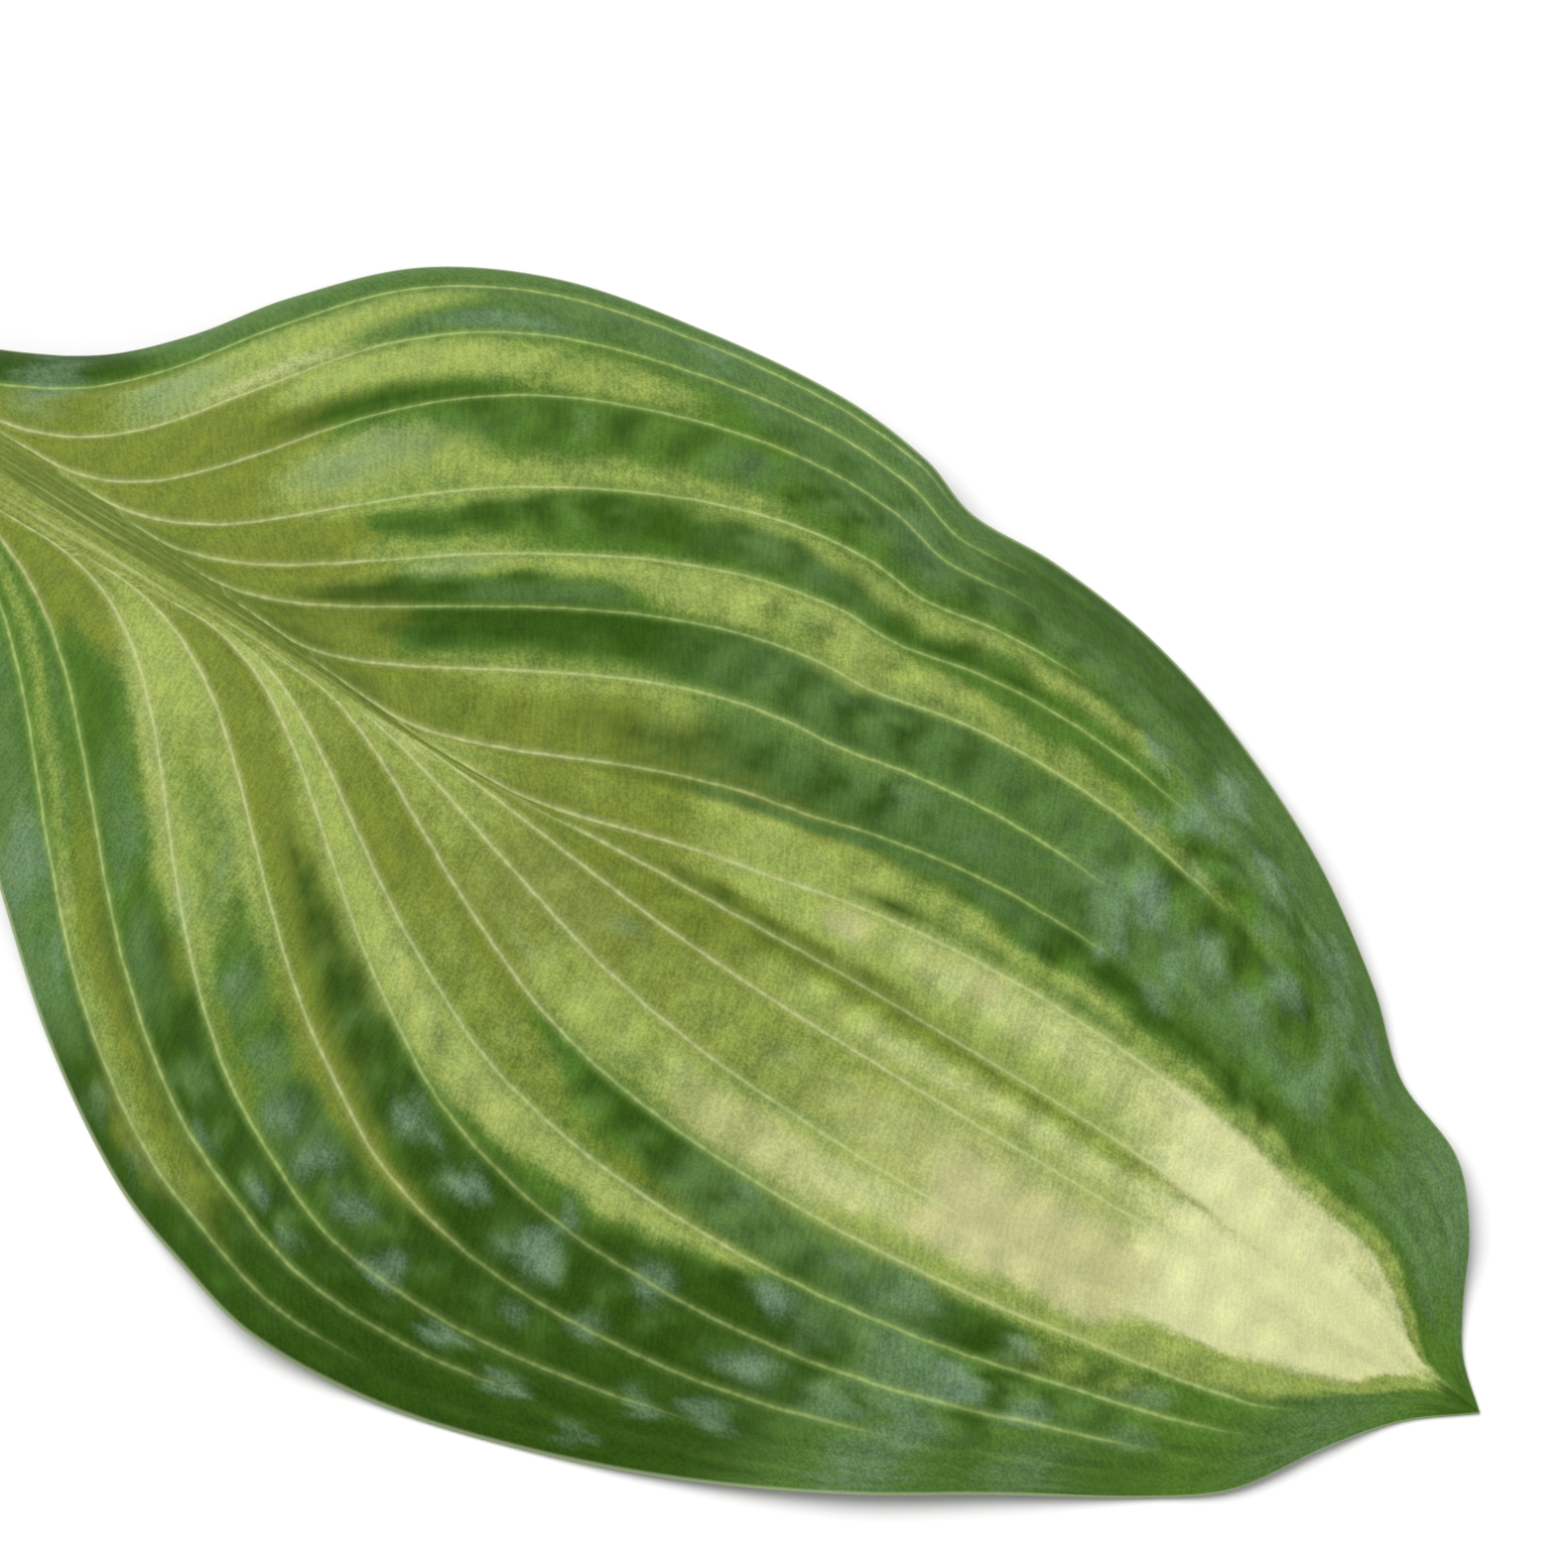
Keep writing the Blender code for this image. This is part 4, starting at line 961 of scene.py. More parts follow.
    def store_tones(self, sheet: Piece, along: Array, across: Array, strip_width: Array) -> None:
        """Lay the streaks of colour on the leaf, each over the last, add the painted sheen and shade of the waves
        and puckers, and store them.

        Args:
            sheet: The shaped sheet.
            along: Share of the blade's length.
            across: Veins from the midrib.
            strip_width: Width of the strip in millimetres.
        """
        number = np.abs(across)
        free = np.sin(np.pi * (number - np.floor(number)))
        waved = self.wave_sway * self.wave(along, across) * rises(number, *self.sway_strips)
        there = across + free * (sum(part.at(along, across) for part in self.sway) + waved)
        then = along + sum(part.at(along, across) for part in self.shift)
        lime = np.clip(sum(part.at(along, across) for part in self.lime_patches), 0.0, 1.0)
        dark = np.clip(sum(part.at(along, across) for part in self.dark_patches), 0.0, 1.0)
        thinned = {Tone.LIME: 1.0 - self.lime_thinned * (lime * (rises(along, *self.lime_begins) * free))}
        for tone in (Tone.OLIVE, Tone.DEEP, Tone.BLUE):
            thinned[tone] = 1.0 - self.dark_thinned * (dark * (rises(along, *self.dark_begins) * free))
        tones = {tone: np.zeros_like(along) for tone in Tone}
        for streak in STREAKS:
            self.cover(tones, streak.tone, streak.amount(then, there) * thinned.get(streak.tone, 1.0))
        # Painted shade in the hollows between the waves and painted bluish sheen on their crests, outside the pale
        # tissue
        wave = self.wave(then, there) * free * rises(strip_width, *self.wave_widths)
        wave *= self.wave_middle + self.wave_strength.at(along, across)
        crumpled = self.unrest(along, across)
        wave += self.crumple_wave * crumpled
        # The waves' painted light and shade, which the material adds to the crests and hollows
        self.store(sheet, "painted_wave_light", np.clip(wave, -1.0, 1.0))
        for tone, part, share in ((Tone.DEEP, -wave, self.hollow_painted_shade), (Tone.BLUE, wave, self.crest_painted_sheen)):
            ground = 1.0 - sum(tones[pale] for pale in (Tone.OLIVE, Tone.LIME, Tone.CREAM, Tone.BEIGE))
            self.cover(tones, tone, np.clip(part, 0.0, 1.0) * share * np.clip(ground, 0.0, 1.0))
        # Painted sheen, over the waxy coat, on each swelling, and painted shade in each hollow
        for pucker in PUCKERS:
            amount = pucker.bloom_and_painted_light * pucker.rise(then, there, self.blade_length)
            if pucker.lift < 0.0:
                self.cover(tones, Tone.DEEP, amount)
            else:
                tones[Tone.BLOOM] = np.maximum(tones[Tone.BLOOM], amount)
        # Painted sheen on the crumpled crests
        tones[Tone.BLOOM] = np.maximum(tones[Tone.BLOOM], self.crumple_crest_sheen * np.clip(crumpled, 0.0, 1.0))
        self.store(sheet, "yellowish", np.clip(tones[Tone.OLIVE] + tones[Tone.LIME], 0.0, 1.0))
        self.store(sheet, "creamy", np.clip(tones[Tone.CREAM] + tones[Tone.BEIGE], 0.0, 1.0))
        # What is stored is how far each tone covers those before it
        left_over = np.ones_like(along)
        for tone in reversed(Tone):
            self.store(sheet, tone.value, np.clip(tones[tone] / np.maximum(left_over, 1e-4), 0.0, 1.0))
            if tone is not Tone.BLOOM:
                left_over -= tones[tone]

    @staticmethod
    def cover(tones: dict[Tone, Array], tone: Tone, amount: Array) -> None:
        """Lay an amount of one tone over all the tones.

        Args:
            tones: How much of each tone there is, which is changed.
            tone: The tone that is laid on.
            amount: How much of it, from 0 to 1.
        """
        for other in tones:
            tones[other] *= 1.0 - amount
        tones[tone] += amount

    @staticmethod
    def store(sheet: Piece, name: str, values: Array) -> None:
        """Store one number for each vertex, as an attribute of the given name."""
        attribute = sheet.data.attributes.new(name, "FLOAT", "POINT")
        attribute.data.foreach_set("value", values.astype(np.float32))

    def close_tip(self, sheet: Piece) -> None:
        """Merge the last row of vertices, which meet in the leaf's tip.

        Args:
            sheet: The shaped sheet.
        """
        bpy.ops.object.mode_set(mode="EDIT")
        bpy.ops.mesh.select_all(action="SELECT")
        bpy.ops.mesh.remove_doubles(threshold=0.4e-6)
        bpy.ops.mesh.normals_make_consistent(inside=False)
        bpy.ops.object.mode_set(mode="OBJECT")
        if sum(face.normal.z for face in sheet.data.polygons) < 0.0:
            bpy.ops.object.mode_set(mode="EDIT")
            bpy.ops.mesh.flip_normals()
            bpy.ops.object.mode_set(mode="OBJECT")

    def depth(self, along: Array, across: Array, place: Array, middle: Array) -> Array:
        """Thickness of the leaf, with the ribs under its veins and the keel under its petiole.

        Args:
            along: Share of the blade's length.
            across: Veins from the midrib.
            place: Distance from the margin in millimetres.
            middle: Distance from the midrib in millimetres.

        Returns:
            Thicknesses in millimetres.
        """
        blade = np.maximum(along, 0.0)
        part = np.abs(across - np.round(across))
        ribs = (part < 1e-3) & (np.abs(across) < self.strips - 0.5)
        rib = self.rib_depth * ribs * self.rib_shows.at(along) * ease(place / self.rib_margin)
        keel = self.keel_depth * np.maximum(0.0, 1.0 - blade / self.keel_runs_out) ** 2
        keel = keel * np.exp(-((middle / self.keel_half_width) ** 2))
        thin = (self.thickness - self.margin_thickness) * np.exp(-((place / self.margin_rounding) ** 2))
        return self.thickness - thin + keel + rib

    def give_thickness(self, sheet: Piece) -> None:
        """Give the sheet its thickness, press it flat where it rests, and smooth it.

        Args:
            sheet: The shaped sheet, with its places stored on it.
        """
        mesh = sheet.data
        count = len(mesh.vertices)
        read = {}
        for name in ("along", "across", "from_margin"):
            values = np.zeros(count, np.float32)
            mesh.attributes[name].data.foreach_get("value", values)
            read[name] = values.astype(float)
        places = np.zeros(count * 3, np.float32)
        mesh.vertices.foreach_get("co", places)
        places = places.reshape(-1, 3)
        shares, row = np.unique(read["along"], return_inverse=True)
        middle = self.cross_lines(shares)[0][row]
        middle[:, :2] -= np.array([self.middle_x, self.middle_y]) * MM
        distance = np.linalg.norm(places[:, :2] - middle[:, :2], axis=1) / MM
        depth = self.depth(read["along"], read["across"], read["from_margin"], distance)
        deepest = float(depth.max())
        group = sheet.vertex_groups.new(name="thickness")
        for index, value in enumerate(depth):
            group.add([index], float(value) / deepest, "REPLACE")
        solidify = sheet.modifiers.new("thickness", "SOLIDIFY")
        solidify.thickness = deepest * MM
        solidify.offset = -1.0
        solidify.vertex_group = group.name
        upper = len(mesh.polygons)
        bpy.ops.object.modifier_apply(modifier=solidify.name)
        sheet.vertex_groups.clear()
        for vertex in mesh.vertices:
            vertex.co.z = max(vertex.co.z, 0.0)
        bpy.ops.object.shade_smooth_by_angle(angle=math.radians(self.crease_angle))
        # The lower faces follow the upper ones, and those round the margin come last
        for face in mesh.polygons:
            if face.normal.x < -self.cut_facing and face.center.x < self.cut_end:
                face.material_index = 2
            elif upper <= face.index < 2 * upper:
                face.material_index = 1


class NodeSheet:
    """Node tree that is filled by short calls."""

    def __init__(self, tree: bpy.types.NodeTree) -> None:
        """Keep the tree of a material or of a node group."""
        self.tree = tree

    def add(self, kind: str, inputs: dict | None = None, **settings: object) -> bpy.types.Node:
        """Add a node.

        Args:
            kind: Blender's name of the node's type.
            inputs: Values or sockets for its inputs, by name or number.
            **settings: Properties of the node, which are set before its inputs.

        Returns:
            The node.
        """
        node = self.tree.nodes.new(kind)
        for name, value in settings.items():
            setattr(node, name, value)
        for key, value in (inputs or {}).items():
            if isinstance(value, Socket):
                self.tree.links.new(value, node.inputs[key])
            else:
                node.inputs[key].default_value = value
        return node

    def sum(self, operation: str, *values: object) -> Socket:
        """Work out a number from numbers or sockets, by Blender's name of the operation."""
        return self.add("ShaderNodeMath", dict(enumerate(values)), operation=operation).outputs[0]

    def times(self, first: object, second: object) -> Socket:
        """Multiply two numbers or sockets."""
        return self.sum("MULTIPLY", first, second)

    def step(self, value: object, low: float, high: float, start: float = 0.0,
             end: float = 1.0) -> Socket:
        """Soft step between two values.

        Args:
            value: Number or socket.
            low: Value at which the step starts.
            high: Value at which it ends.
            start: Result at the low value.
            end: Result at the high value.

        Returns:
            The result's socket.
        """
        node = self.add("ShaderNodeMapRange", {"Value": value, "From Min": low, "From Max": high,
                                               "To Min": start, "To Max": end},
                        interpolation_type="SMOOTHSTEP")
        return node.outputs["Result"]

    def mix(self, share: object, below: object, above: object, blend: str = "MIX") -> Socket:
        """Mix two colours, by how much there is of the upper one and Blender's name of the way to mix."""
        node = self.add("ShaderNodeMix", {0: share, 6: below, 7: above}, data_type="RGBA", blend_type=blend)
        return node.outputs[2]

    def plane(self, first: object, second: object) -> Socket:
        """Make a vector of two numbers or sockets."""
        return self.add("ShaderNodeCombineXYZ", {"X": first, "Y": second}).outputs[0]

    def noise(self, place: Socket, scale: float, detail: float,
              roughness: float = 0.5) -> Socket:
        """Noise over a vector.

        Args:
            place: The vector.
            scale: Clouds to a unit.
            detail: How many finer layers there are.
            roughness: How strong the finer layers are.

        Returns:
            The noise's socket, which runs from 0 to 1.
        """
        return self.add("ShaderNodeTexNoise", {"Vector": place, "Scale": scale, "Detail": detail,
                                               "Roughness": roughness}).outputs["Fac"]

    def attribute(self, name: str) -> Socket:
        """Read one of the leaf's stored numbers."""
        return self.add("ShaderNodeAttribute", attribute_name=name).outputs["Fac"]

    def group(self, tree: bpy.types.NodeTree, inputs: dict) -> bpy.types.Node:
        """Place a node group with its own values."""
        return self.add("ShaderNodeGroup", inputs, node_tree=tree)

    def put_out(self, result: bpy.types.Node, **values: Socket) -> None:
        """Join sockets to the inputs of the same names on a group's output node."""
        for name, value in values.items():
            self.tree.links.new(value, result.inputs[name])


@dataclass
class LeafEffects:
    """Effects that several of the leaf's materials share, each as a node group.

    Attributes:
        fibre_lean: How many fibres further along a fibre ends after crossing one strip.
        fibre_breaks: Changes along a fibre in one strip.
        stroke_breaks: Strokes beside each other in one strip.
        stroke_length: Length of the strokes in millimetres.
        stroke_roughness: How ragged the strokes are.
        clouds: The clouds in the tissue: name, clouds to a metre, and detail.
        cloud_roughness: How ragged the clouds are.
        vein_apart: Step in the noise from one vein to the next.
        vein_turns: Turns of a vein line to a millimetre.
        vein_wander: How far a vein line wanders, in millimetres.
        vein_unevenness: How much quicker a line's strength changes than its course.
        fringe_reach: Reach of the pale fringe, in widths of its line.
        fringe_share: How strong the fringe is on the line.
        widest_share: Widest line, in shares of its strip.
        strands_across: Strands to a millimetre where the veins run close together.
        strands_along: Turns of a strand to a millimetre.
        strand_light: How strong the pale strands are.
        strand_cover: How much of the plain lines the strands take away.
        groove_reach: Reach of the groove, in its own widths.
        cell_share: Part that the cells have in a tone's ragged edge, beside the blots.
    """

    fibre_lean: float = 7.0
    fibre_breaks: float = 3.2
    stroke_breaks: float = 2.8
    stroke_length: float = 5.0
    stroke_roughness: float = 0.62
    clouds: tuple[tuple[str, float, float], ...] = (("Cells", 2600.0, 1.0), ("Blots", 640.0, 4.0),
                                                    ("Mottle", 150.0, 3.0))
    cloud_roughness: float = 0.6
    vein_apart: float = 7.3
    vein_turns: float = 0.3
    vein_wander: float = 0.4
    vein_unevenness: float = 2.7
    fringe_reach: float = 2.2
    fringe_share: float = 0.34
    widest_share: float = 0.3
    strands_across: float = 1.3
    strands_along: float = 0.035
    strand_light: float = 0.55
    strand_cover: float = 0.8
    groove_reach: float = 0.6
    cell_share: float = 0.5

    def __post_init__(self) -> None:
        """Build the groups once."""
        self.grain = self.make_grain()
        self.veins = self.make_veins()
        self.toned = self.make_toned()

    @staticmethod
    def new_group(name: str, numbers: dict[str, float], colours: dict[str, Colour],
                  outputs: dict[str, str]) -> tuple[NodeSheet, Sockets, bpy.types.Node]:
        """Start a node group with named sockets.

        Args:
            name: Name of the group.
            numbers: First value of each input that is a number, by name.
            colours: First value of each input that is a colour, by name.
            outputs: Type of each output, by name.

        Returns:
            The group's sheet, the sockets of what it is given, and its output node.
        """
        tree = bpy.data.node_groups.new(name, "ShaderNodeTree")
        for kind, inputs in (("NodeSocketColor", colours), ("NodeSocketFloat", numbers)):
            for title, value in inputs.items():
                socket = tree.interface.new_socket(name=title, in_out="INPUT", socket_type=kind)
                socket.default_value = value
        for title, kind in outputs.items():
            tree.interface.new_socket(name=title, in_out="OUTPUT", socket_type=kind)
        sheet = NodeSheet(tree)
        return sheet, sheet.add("NodeGroupInput").outputs, sheet.add("NodeGroupOutput")

    def make_grain(self) -> bpy.types.NodeTree:
        """Fine fibres that run from vein to vein, strokes along the veins, and clouds in the tissue.

        Returns:
            The node group.
        """
        sheet, given, result = self.new_group(
            "tissue_grain", {"Across": 0.0, "Run": 0.0, "Fibre Pitch": 0.5}, {},
            dict.fromkeys(("Fibres", "Strokes", "Cells", "Blots", "Mottle"), "NodeSocketFloat"))
        across, run = given["Across"], given["Run"]
        leaning = sheet.sum("ADD", sheet.sum("DIVIDE", run, given["Fibre Pitch"]),
                            sheet.times(across, self.fibre_lean))
        fine = sheet.noise(sheet.plane(sheet.times(across, self.fibre_breaks), leaning), 1.0, 1.0)
        lengthwise = sheet.plane(sheet.times(across, self.stroke_breaks),
                                 sheet.sum("DIVIDE", run, self.stroke_length))
        broad = sheet.noise(lengthwise, 1.0, 4.0, self.stroke_roughness)
        sheet.put_out(result, Fibres=sheet.step(fine, 0.3, 0.7), Strokes=sheet.step(broad, 0.28, 0.72))
        place = sheet.add("ShaderNodeTexCoord").outputs["Object"]
        for name, scale, detail in self.clouds:
            cloud = sheet.noise(place, scale, detail, self.cloud_roughness)
            sheet.put_out(result, **{name: sheet.step(cloud, 0.3, 0.7)})
        return sheet.tree

    def make_veins(self) -> bpy.types.NodeTree:
        """Pale fringed lines on the veins, the groove that each lies in, and strands where they run together.

        Returns:
            The node group.
        """
        sheet, given, result = self.new_group(
            "vein_lines",
            {"Across": 0.0, "Run": 0.0, "Strip Width": 5.0, "Line": 1.0, "Line Width": 0.5, "Groove Width": 2.6},
            {}, dict.fromkeys(("Line", "Groove", "Strands"), "NodeSocketFloat"))
        across, run, strip, shown = given["Across"], given["Run"], given["Strip Width"], given["Line"]
        nearest = sheet.sum("ROUND", across)
        # A slow wander to the sides and an uneven strength, different on each vein
        course = sheet.plane(sheet.times(nearest, self.vein_apart), sheet.times(run, self.vein_turns))
        aside = sheet.times(sheet.sum("SUBTRACT", sheet.noise(course, 1.0, 2.0), 0.5), self.vein_wander)
        offset = sheet.sum("SUBTRACT", across, nearest)
        away = sheet.sum("ABSOLUTE", sheet.sum("MULTIPLY_ADD", offset, strip, aside))
        uneven = sheet.noise(course, self.vein_unevenness, 2.0)
        least = sheet.step(strip, 0.9, 2.6, 0.1, 0.62)
        strength = sheet.times(shown, sheet.step(uneven, 0.35, 0.65, least, 1.0))
        narrow = sheet.sum("MINIMUM", given["Line Width"], sheet.times(strip, self.widest_share))
        held = sheet.times(narrow, sheet.sum("MULTIPLY_ADD", shown, 0.5, 0.5))
        thin = sheet.step(sheet.sum("DIVIDE", away, held), 0.0, 0.95, 1.0, 0.0)
        fringe = sheet.step(sheet.sum("DIVIDE", away, narrow), 0.0, self.fringe_reach, self.fringe_share, 0.0)
        thin = sheet.sum("MAXIMUM", thin, fringe)
        # Where the veins run close together they show as uneven strands
        threads = sheet.plane(sheet.times(across, sheet.times(strip, self.strands_across)),
                              sheet.times(run, self.strands_along))
        strands = sheet.noise(threads, 1.0, 3.0)
        close = sheet.times(shown, sheet.step(strip, 0.9, 2.0, 1.0, 0.0))
        light = sheet.times(close, sheet.step(strands, 0.5, 0.68, 0.0, self.strand_light))
        lines = sheet.times(sheet.times(thin, strength), sheet.sum("MULTIPLY_ADD", close, -self.strand_cover, 1.0))
        broad = sheet.step(sheet.sum("DIVIDE", away, given["Groove Width"]), 0.0, self.groove_reach, 1.0, 0.0)
        sheet.put_out(result, Line=sheet.sum("MAXIMUM", lines, light),
                      Strands=sheet.times(close, sheet.step(strands, 0.3, 0.5, 1.0, 0.0)),
                      Groove=sheet.times(broad, sheet.step(strip, 1.0, 4.0)))
        return sheet.tree

    def make_toned(self) -> bpy.types.NodeTree:
        """One tone of tissue over another, with a blotted edge.

        Returns:
            The node group.
        """
        sheet, given, result = self.new_group(
            "feathered_tone", {"Amount": 0.0, "Blots": 0.5, "Cells": 0.5, "Feather": 0.25},
            {"Below": (0.1, 0.2, 0.05, 1.0), "Tone": (0.5, 0.5, 0.3, 1.0)}, {"Color": "NodeSocketColor"})
        amount = given["Amount"]
        edge = sheet.times(sheet.times(amount, sheet.sum("SUBTRACT", 1.0, amount)), 4.0)
        speck = sheet.sum("MULTIPLY_ADD", given["Cells"], self.cell_share, given["Blots"])
        middle = (1.0 + self.cell_share) / 2.0
        push = sheet.times(sheet.sum("SUBTRACT", speck, middle), given["Feather"])
        share = sheet.step(sheet.sum("MULTIPLY_ADD", push, edge, amount), 0.0, 1.0)
        sheet.put_out(result, Color=sheet.mix(share, given["Below"], given["Tone"]))
        return sheet.tree


def darker(colour: Colour, share: float) -> Colour:
    """Darken a colour to a share of its brightness."""
    return (colour[0] * share, colour[1] * share, colour[2] * share, 1.0)


def start_material(name: str) -> tuple[bpy.types.Material, NodeSheet]:
    """Start a material with an empty node tree.

    Args:
        name: Name of the material.

    Returns:
        The material and its sheet.
    """
    material = bpy.data.materials.new(name)
    material.use_nodes = True
    material.node_tree.nodes.clear()
    return material, NodeSheet(material.node_tree)


def lay_surface(sheet: NodeSheet, height: Socket, strength: float, distance: float,
                inputs: dict) -> None:
    """Finish a material with its relief and its surface.

    Args:
        sheet: Sheet of the material.
        height: Height of the relief.
        strength: How strong the relief is.
        distance: How deep it is, in metres.
        inputs: Colour, roughness and the like, for the surface.
    """
    bump = sheet.add("ShaderNodeBump", {"Height": height, "Strength": strength, "Distance": distance})
    surface = sheet.add("ShaderNodeBsdfPrincipled", {"Normal": bump.outputs[0], "Metallic": 0.0, **inputs})
    sheet.add("ShaderNodeOutputMaterial", {"Surface": surface.outputs[0]})


@dataclass(frozen=True)
class TissueFinish:
    """Finish of one face of the leaf.

    Attributes:
        name: Name of the material.
        green: Colour where no streak lies.
        tones: Colour of each tone, in the order in which they cover each other.
        vein: Colour of the vein lines in green tissue.
        vein_in_olive: Their colour in olive and lime tissue.
        vein_in_cream: Their colour in the cream middle.
        strand: Colour of the dark strands where the veins run close together.
        line_width: Width of the vein lines in millimetres.
        line_share: How strongly the lines show.
        roughness: Roughness of the plain tissue.
        grain: How strongly the fibres show.
        relief: Strength of the fine relief.
        warm: Tint of the strokes that are yellower.
        cool: Tint of those that are bluer.
        feather: How ragged the edges of most tones are.
        feathers: How ragged the edges of each tone are, where they differ.
        shade: Brightness of the green in its darker clouds.
        smooth_cream: How much of the grain the cream tissue lacks.
        stroke_grain: How much lighter or darker the strokes are.
        blot_grain: The same for the blots.
        wave_shade: How much lighter the painted light makes the crests than the painted shade makes the hollows.
        groove_shade: How much darker the painted shade in the grooves makes them.
        strand_share: How strongly the dark strands show.
        line_loss: How much of the lines is lost in dark tissue.
        rim: Colour of the thin rim.
        rim_share: How strongly the rim shows.
        rim_width: Where the rim starts and stops fading, in millimetres from the margin.
        bloom_roughness: How much rougher the bloom is.
        cell_roughness: How much rougher the cells are.
        refraction: Index of refraction.
        sheen: How strong the highlights are.
        relief_depth: Depth of the fine relief in metres.
        fibre_height: Part of it that the fibres have, and so on for the cells, lines and grooves.
    """

    name: str
    green: Colour
    tones: tuple[tuple[Tone, Colour], ...]
    vein: Colour
    vein_in_olive: Colour
    vein_in_cream: Colour
    strand: Colour
    line_width: float
    line_share: float
    roughness: float
    grain: float
    relief: float
    warm: Colour = (1.05, 1.01, 0.93, 1.0)
    cool: Colour = (0.95, 0.985, 1.03, 1.0)
    feather: float = 0.18
    feathers: tuple[tuple[Tone, float], ...] = ((Tone.BEIGE, 0.08), (Tone.CREAM, 0.1), (Tone.BLOOM, 0.14))
    shade: float = 0.8
    smooth_cream: float = 0.6
    stroke_grain: float = 0.06
    blot_grain: float = 0.03
    wave_shade: float = 0.15
    groove_shade: float = 0.05
    strand_share: float = 0.4
    line_loss: float = 0.42
    rim: Colour = linear(176, 190, 146)
    rim_share: float = 0.55
    rim_width: tuple[float, float] = (0.15, 0.6)
    bloom_roughness: float = 0.12
    cell_roughness: float = 0.06
    refraction: float = 1.42
    sheen: float = 0.1
    relief_depth: float = 0.00012
    fibre_height: float = 0.3
    cell_height: float = 0.25
    line_height: float = -0.6
    groove_height: float = -0.8

    def make(self, effects: LeafEffects) -> bpy.types.Material:
        """Build the material.

        Args:
            effects: The shared node groups.

        Returns:
            The material.
        """
        material, sheet = start_material(self.name)
        across, run = sheet.attribute("across"), sheet.attribute("run")
        grain = sheet.group(effects.grain, {"Across": across, "Run": run}).outputs
        # The pale tissue is smoother than the green
        coarse = sheet.sum("MULTIPLY_ADD", sheet.attribute("creamy"), -self.smooth_cream, 1.0)
        colour = self.lay_tones(sheet, effects, grain)
        colour = sheet.mix(coarse, colour, sheet.mix(grain["Strokes"], self.cool, self.warm), "MULTIPLY")
        veins = sheet.group(effects.veins, {"Line Width": self.line_width, "Across": across, "Run": run,
                                            "Strip Width": sheet.attribute("strip"),
                                            "Line": sheet.attribute("vein_line")}).outputs
        value = sheet.sum("MULTIPLY_ADD", self.speckle(sheet, grain), coarse, 1.0)
        # Painted shade in the grooves along the veins
        value = sheet.sum("MULTIPLY_ADD", veins["Groove"], -self.groove_shade, value)
        colour = sheet.mix(sheet.times(veins["Strands"], self.strand_share), colour, self.strand)
        colour = sheet.add("ShaderNodeVectorMath", {0: colour, "Scale": value}, operation="SCALE").outputs[0]
        colour = self.draw_lines(sheet, veins["Line"], colour)
        rough = sheet.sum("MULTIPLY_ADD", sheet.attribute(Tone.BLOOM.value), self.bloom_roughness, self.roughness)
        rough = sheet.sum("MULTIPLY_ADD", grain["Cells"], self.cell_roughness, rough)
        height = sheet.times(veins["Line"], self.line_height)
        for part, share in ((grain["Fibres"], self.fibre_height), (grain["Cells"], self.cell_height),
                            (veins["Groove"], self.groove_height)):
            height = sheet.sum("MULTIPLY_ADD", part, share, height)
        lay_surface(sheet, height, self.relief, self.relief_depth,
                    {"Base Color": colour, "Roughness": rough, "IOR": self.refraction,
                     "Specular IOR Level": self.sheen})
        return material

    def lay_tones(self, sheet: NodeSheet, effects: LeafEffects, grain: Sockets) -> Socket:
        """Lay the tones over the green, each over the last.

        Args:
            sheet: Sheet of the material.
            effects: The shared node groups.
            grain: Sockets of the grain.

        Returns:
            The colour's socket.
        """
        ragged = dict(self.feathers)
        colour = sheet.mix(grain["Mottle"], darker(self.green, self.shade), self.green)
        for tone, tint in self.tones:
            colour = sheet.group(effects.toned, {
                "Below": colour, "Tone": tint, "Amount": sheet.attribute(tone.value), "Blots": grain["Blots"],
                "Cells": grain["Cells"], "Feather": ragged.get(tone, self.feather)}).outputs["Color"]
        return colour

    def speckle(self, sheet: NodeSheet, grain: Sockets) -> Socket:
        """How much lighter or darker the grain, and the painted light and shade on the waves, make the tissue.

        Args:
            sheet: Sheet of the material.
            grain: Sockets of the grain.

        Returns:
            The socket of a number about 0.
        """
        shares = (("Cells", 1.5 * self.grain), ("Strokes", self.stroke_grain), ("Blots", self.blot_grain))
        speckle = sheet.step(grain["Fibres"], 0.0, 1.0, -self.grain, self.grain)
        for name, share in shares:
            speckle = sheet.sum("ADD", speckle, sheet.step(grain[name], 0.0, 1.0, -share, share))
        # Painted light on the waves' crests and painted shade in their hollows
        return sheet.sum("MULTIPLY_ADD", sheet.attribute("painted_wave_light"), self.wave_shade, speckle)

    def draw_lines(self, sheet: NodeSheet, line: Socket, colour: Socket) -> Socket:
        """Draw the vein lines and the thin rim over the tissue.

        Args:
            sheet: Sheet of the material.
            line: How much of a vein line there is.
            colour: Colour of the tissue.

        Returns:
            The colour's socket.
        """
        vein = sheet.mix(sheet.attribute("yellowish"), self.vein, self.vein_in_olive)
        vein = sheet.mix(sheet.attribute("creamy"), vein, self.vein_in_cream)
        shown = sheet.sum("MULTIPLY_ADD", sheet.attribute(Tone.DEEP.value), -self.line_loss * self.line_share,
                          self.line_share)
        lined = sheet.mix(sheet.times(line, shown), colour, vein)
        rim = sheet.step(sheet.attribute("from_margin"), *self.rim_width, self.rim_share, 0.0)
        return sheet.mix(rim, lined, self.rim)


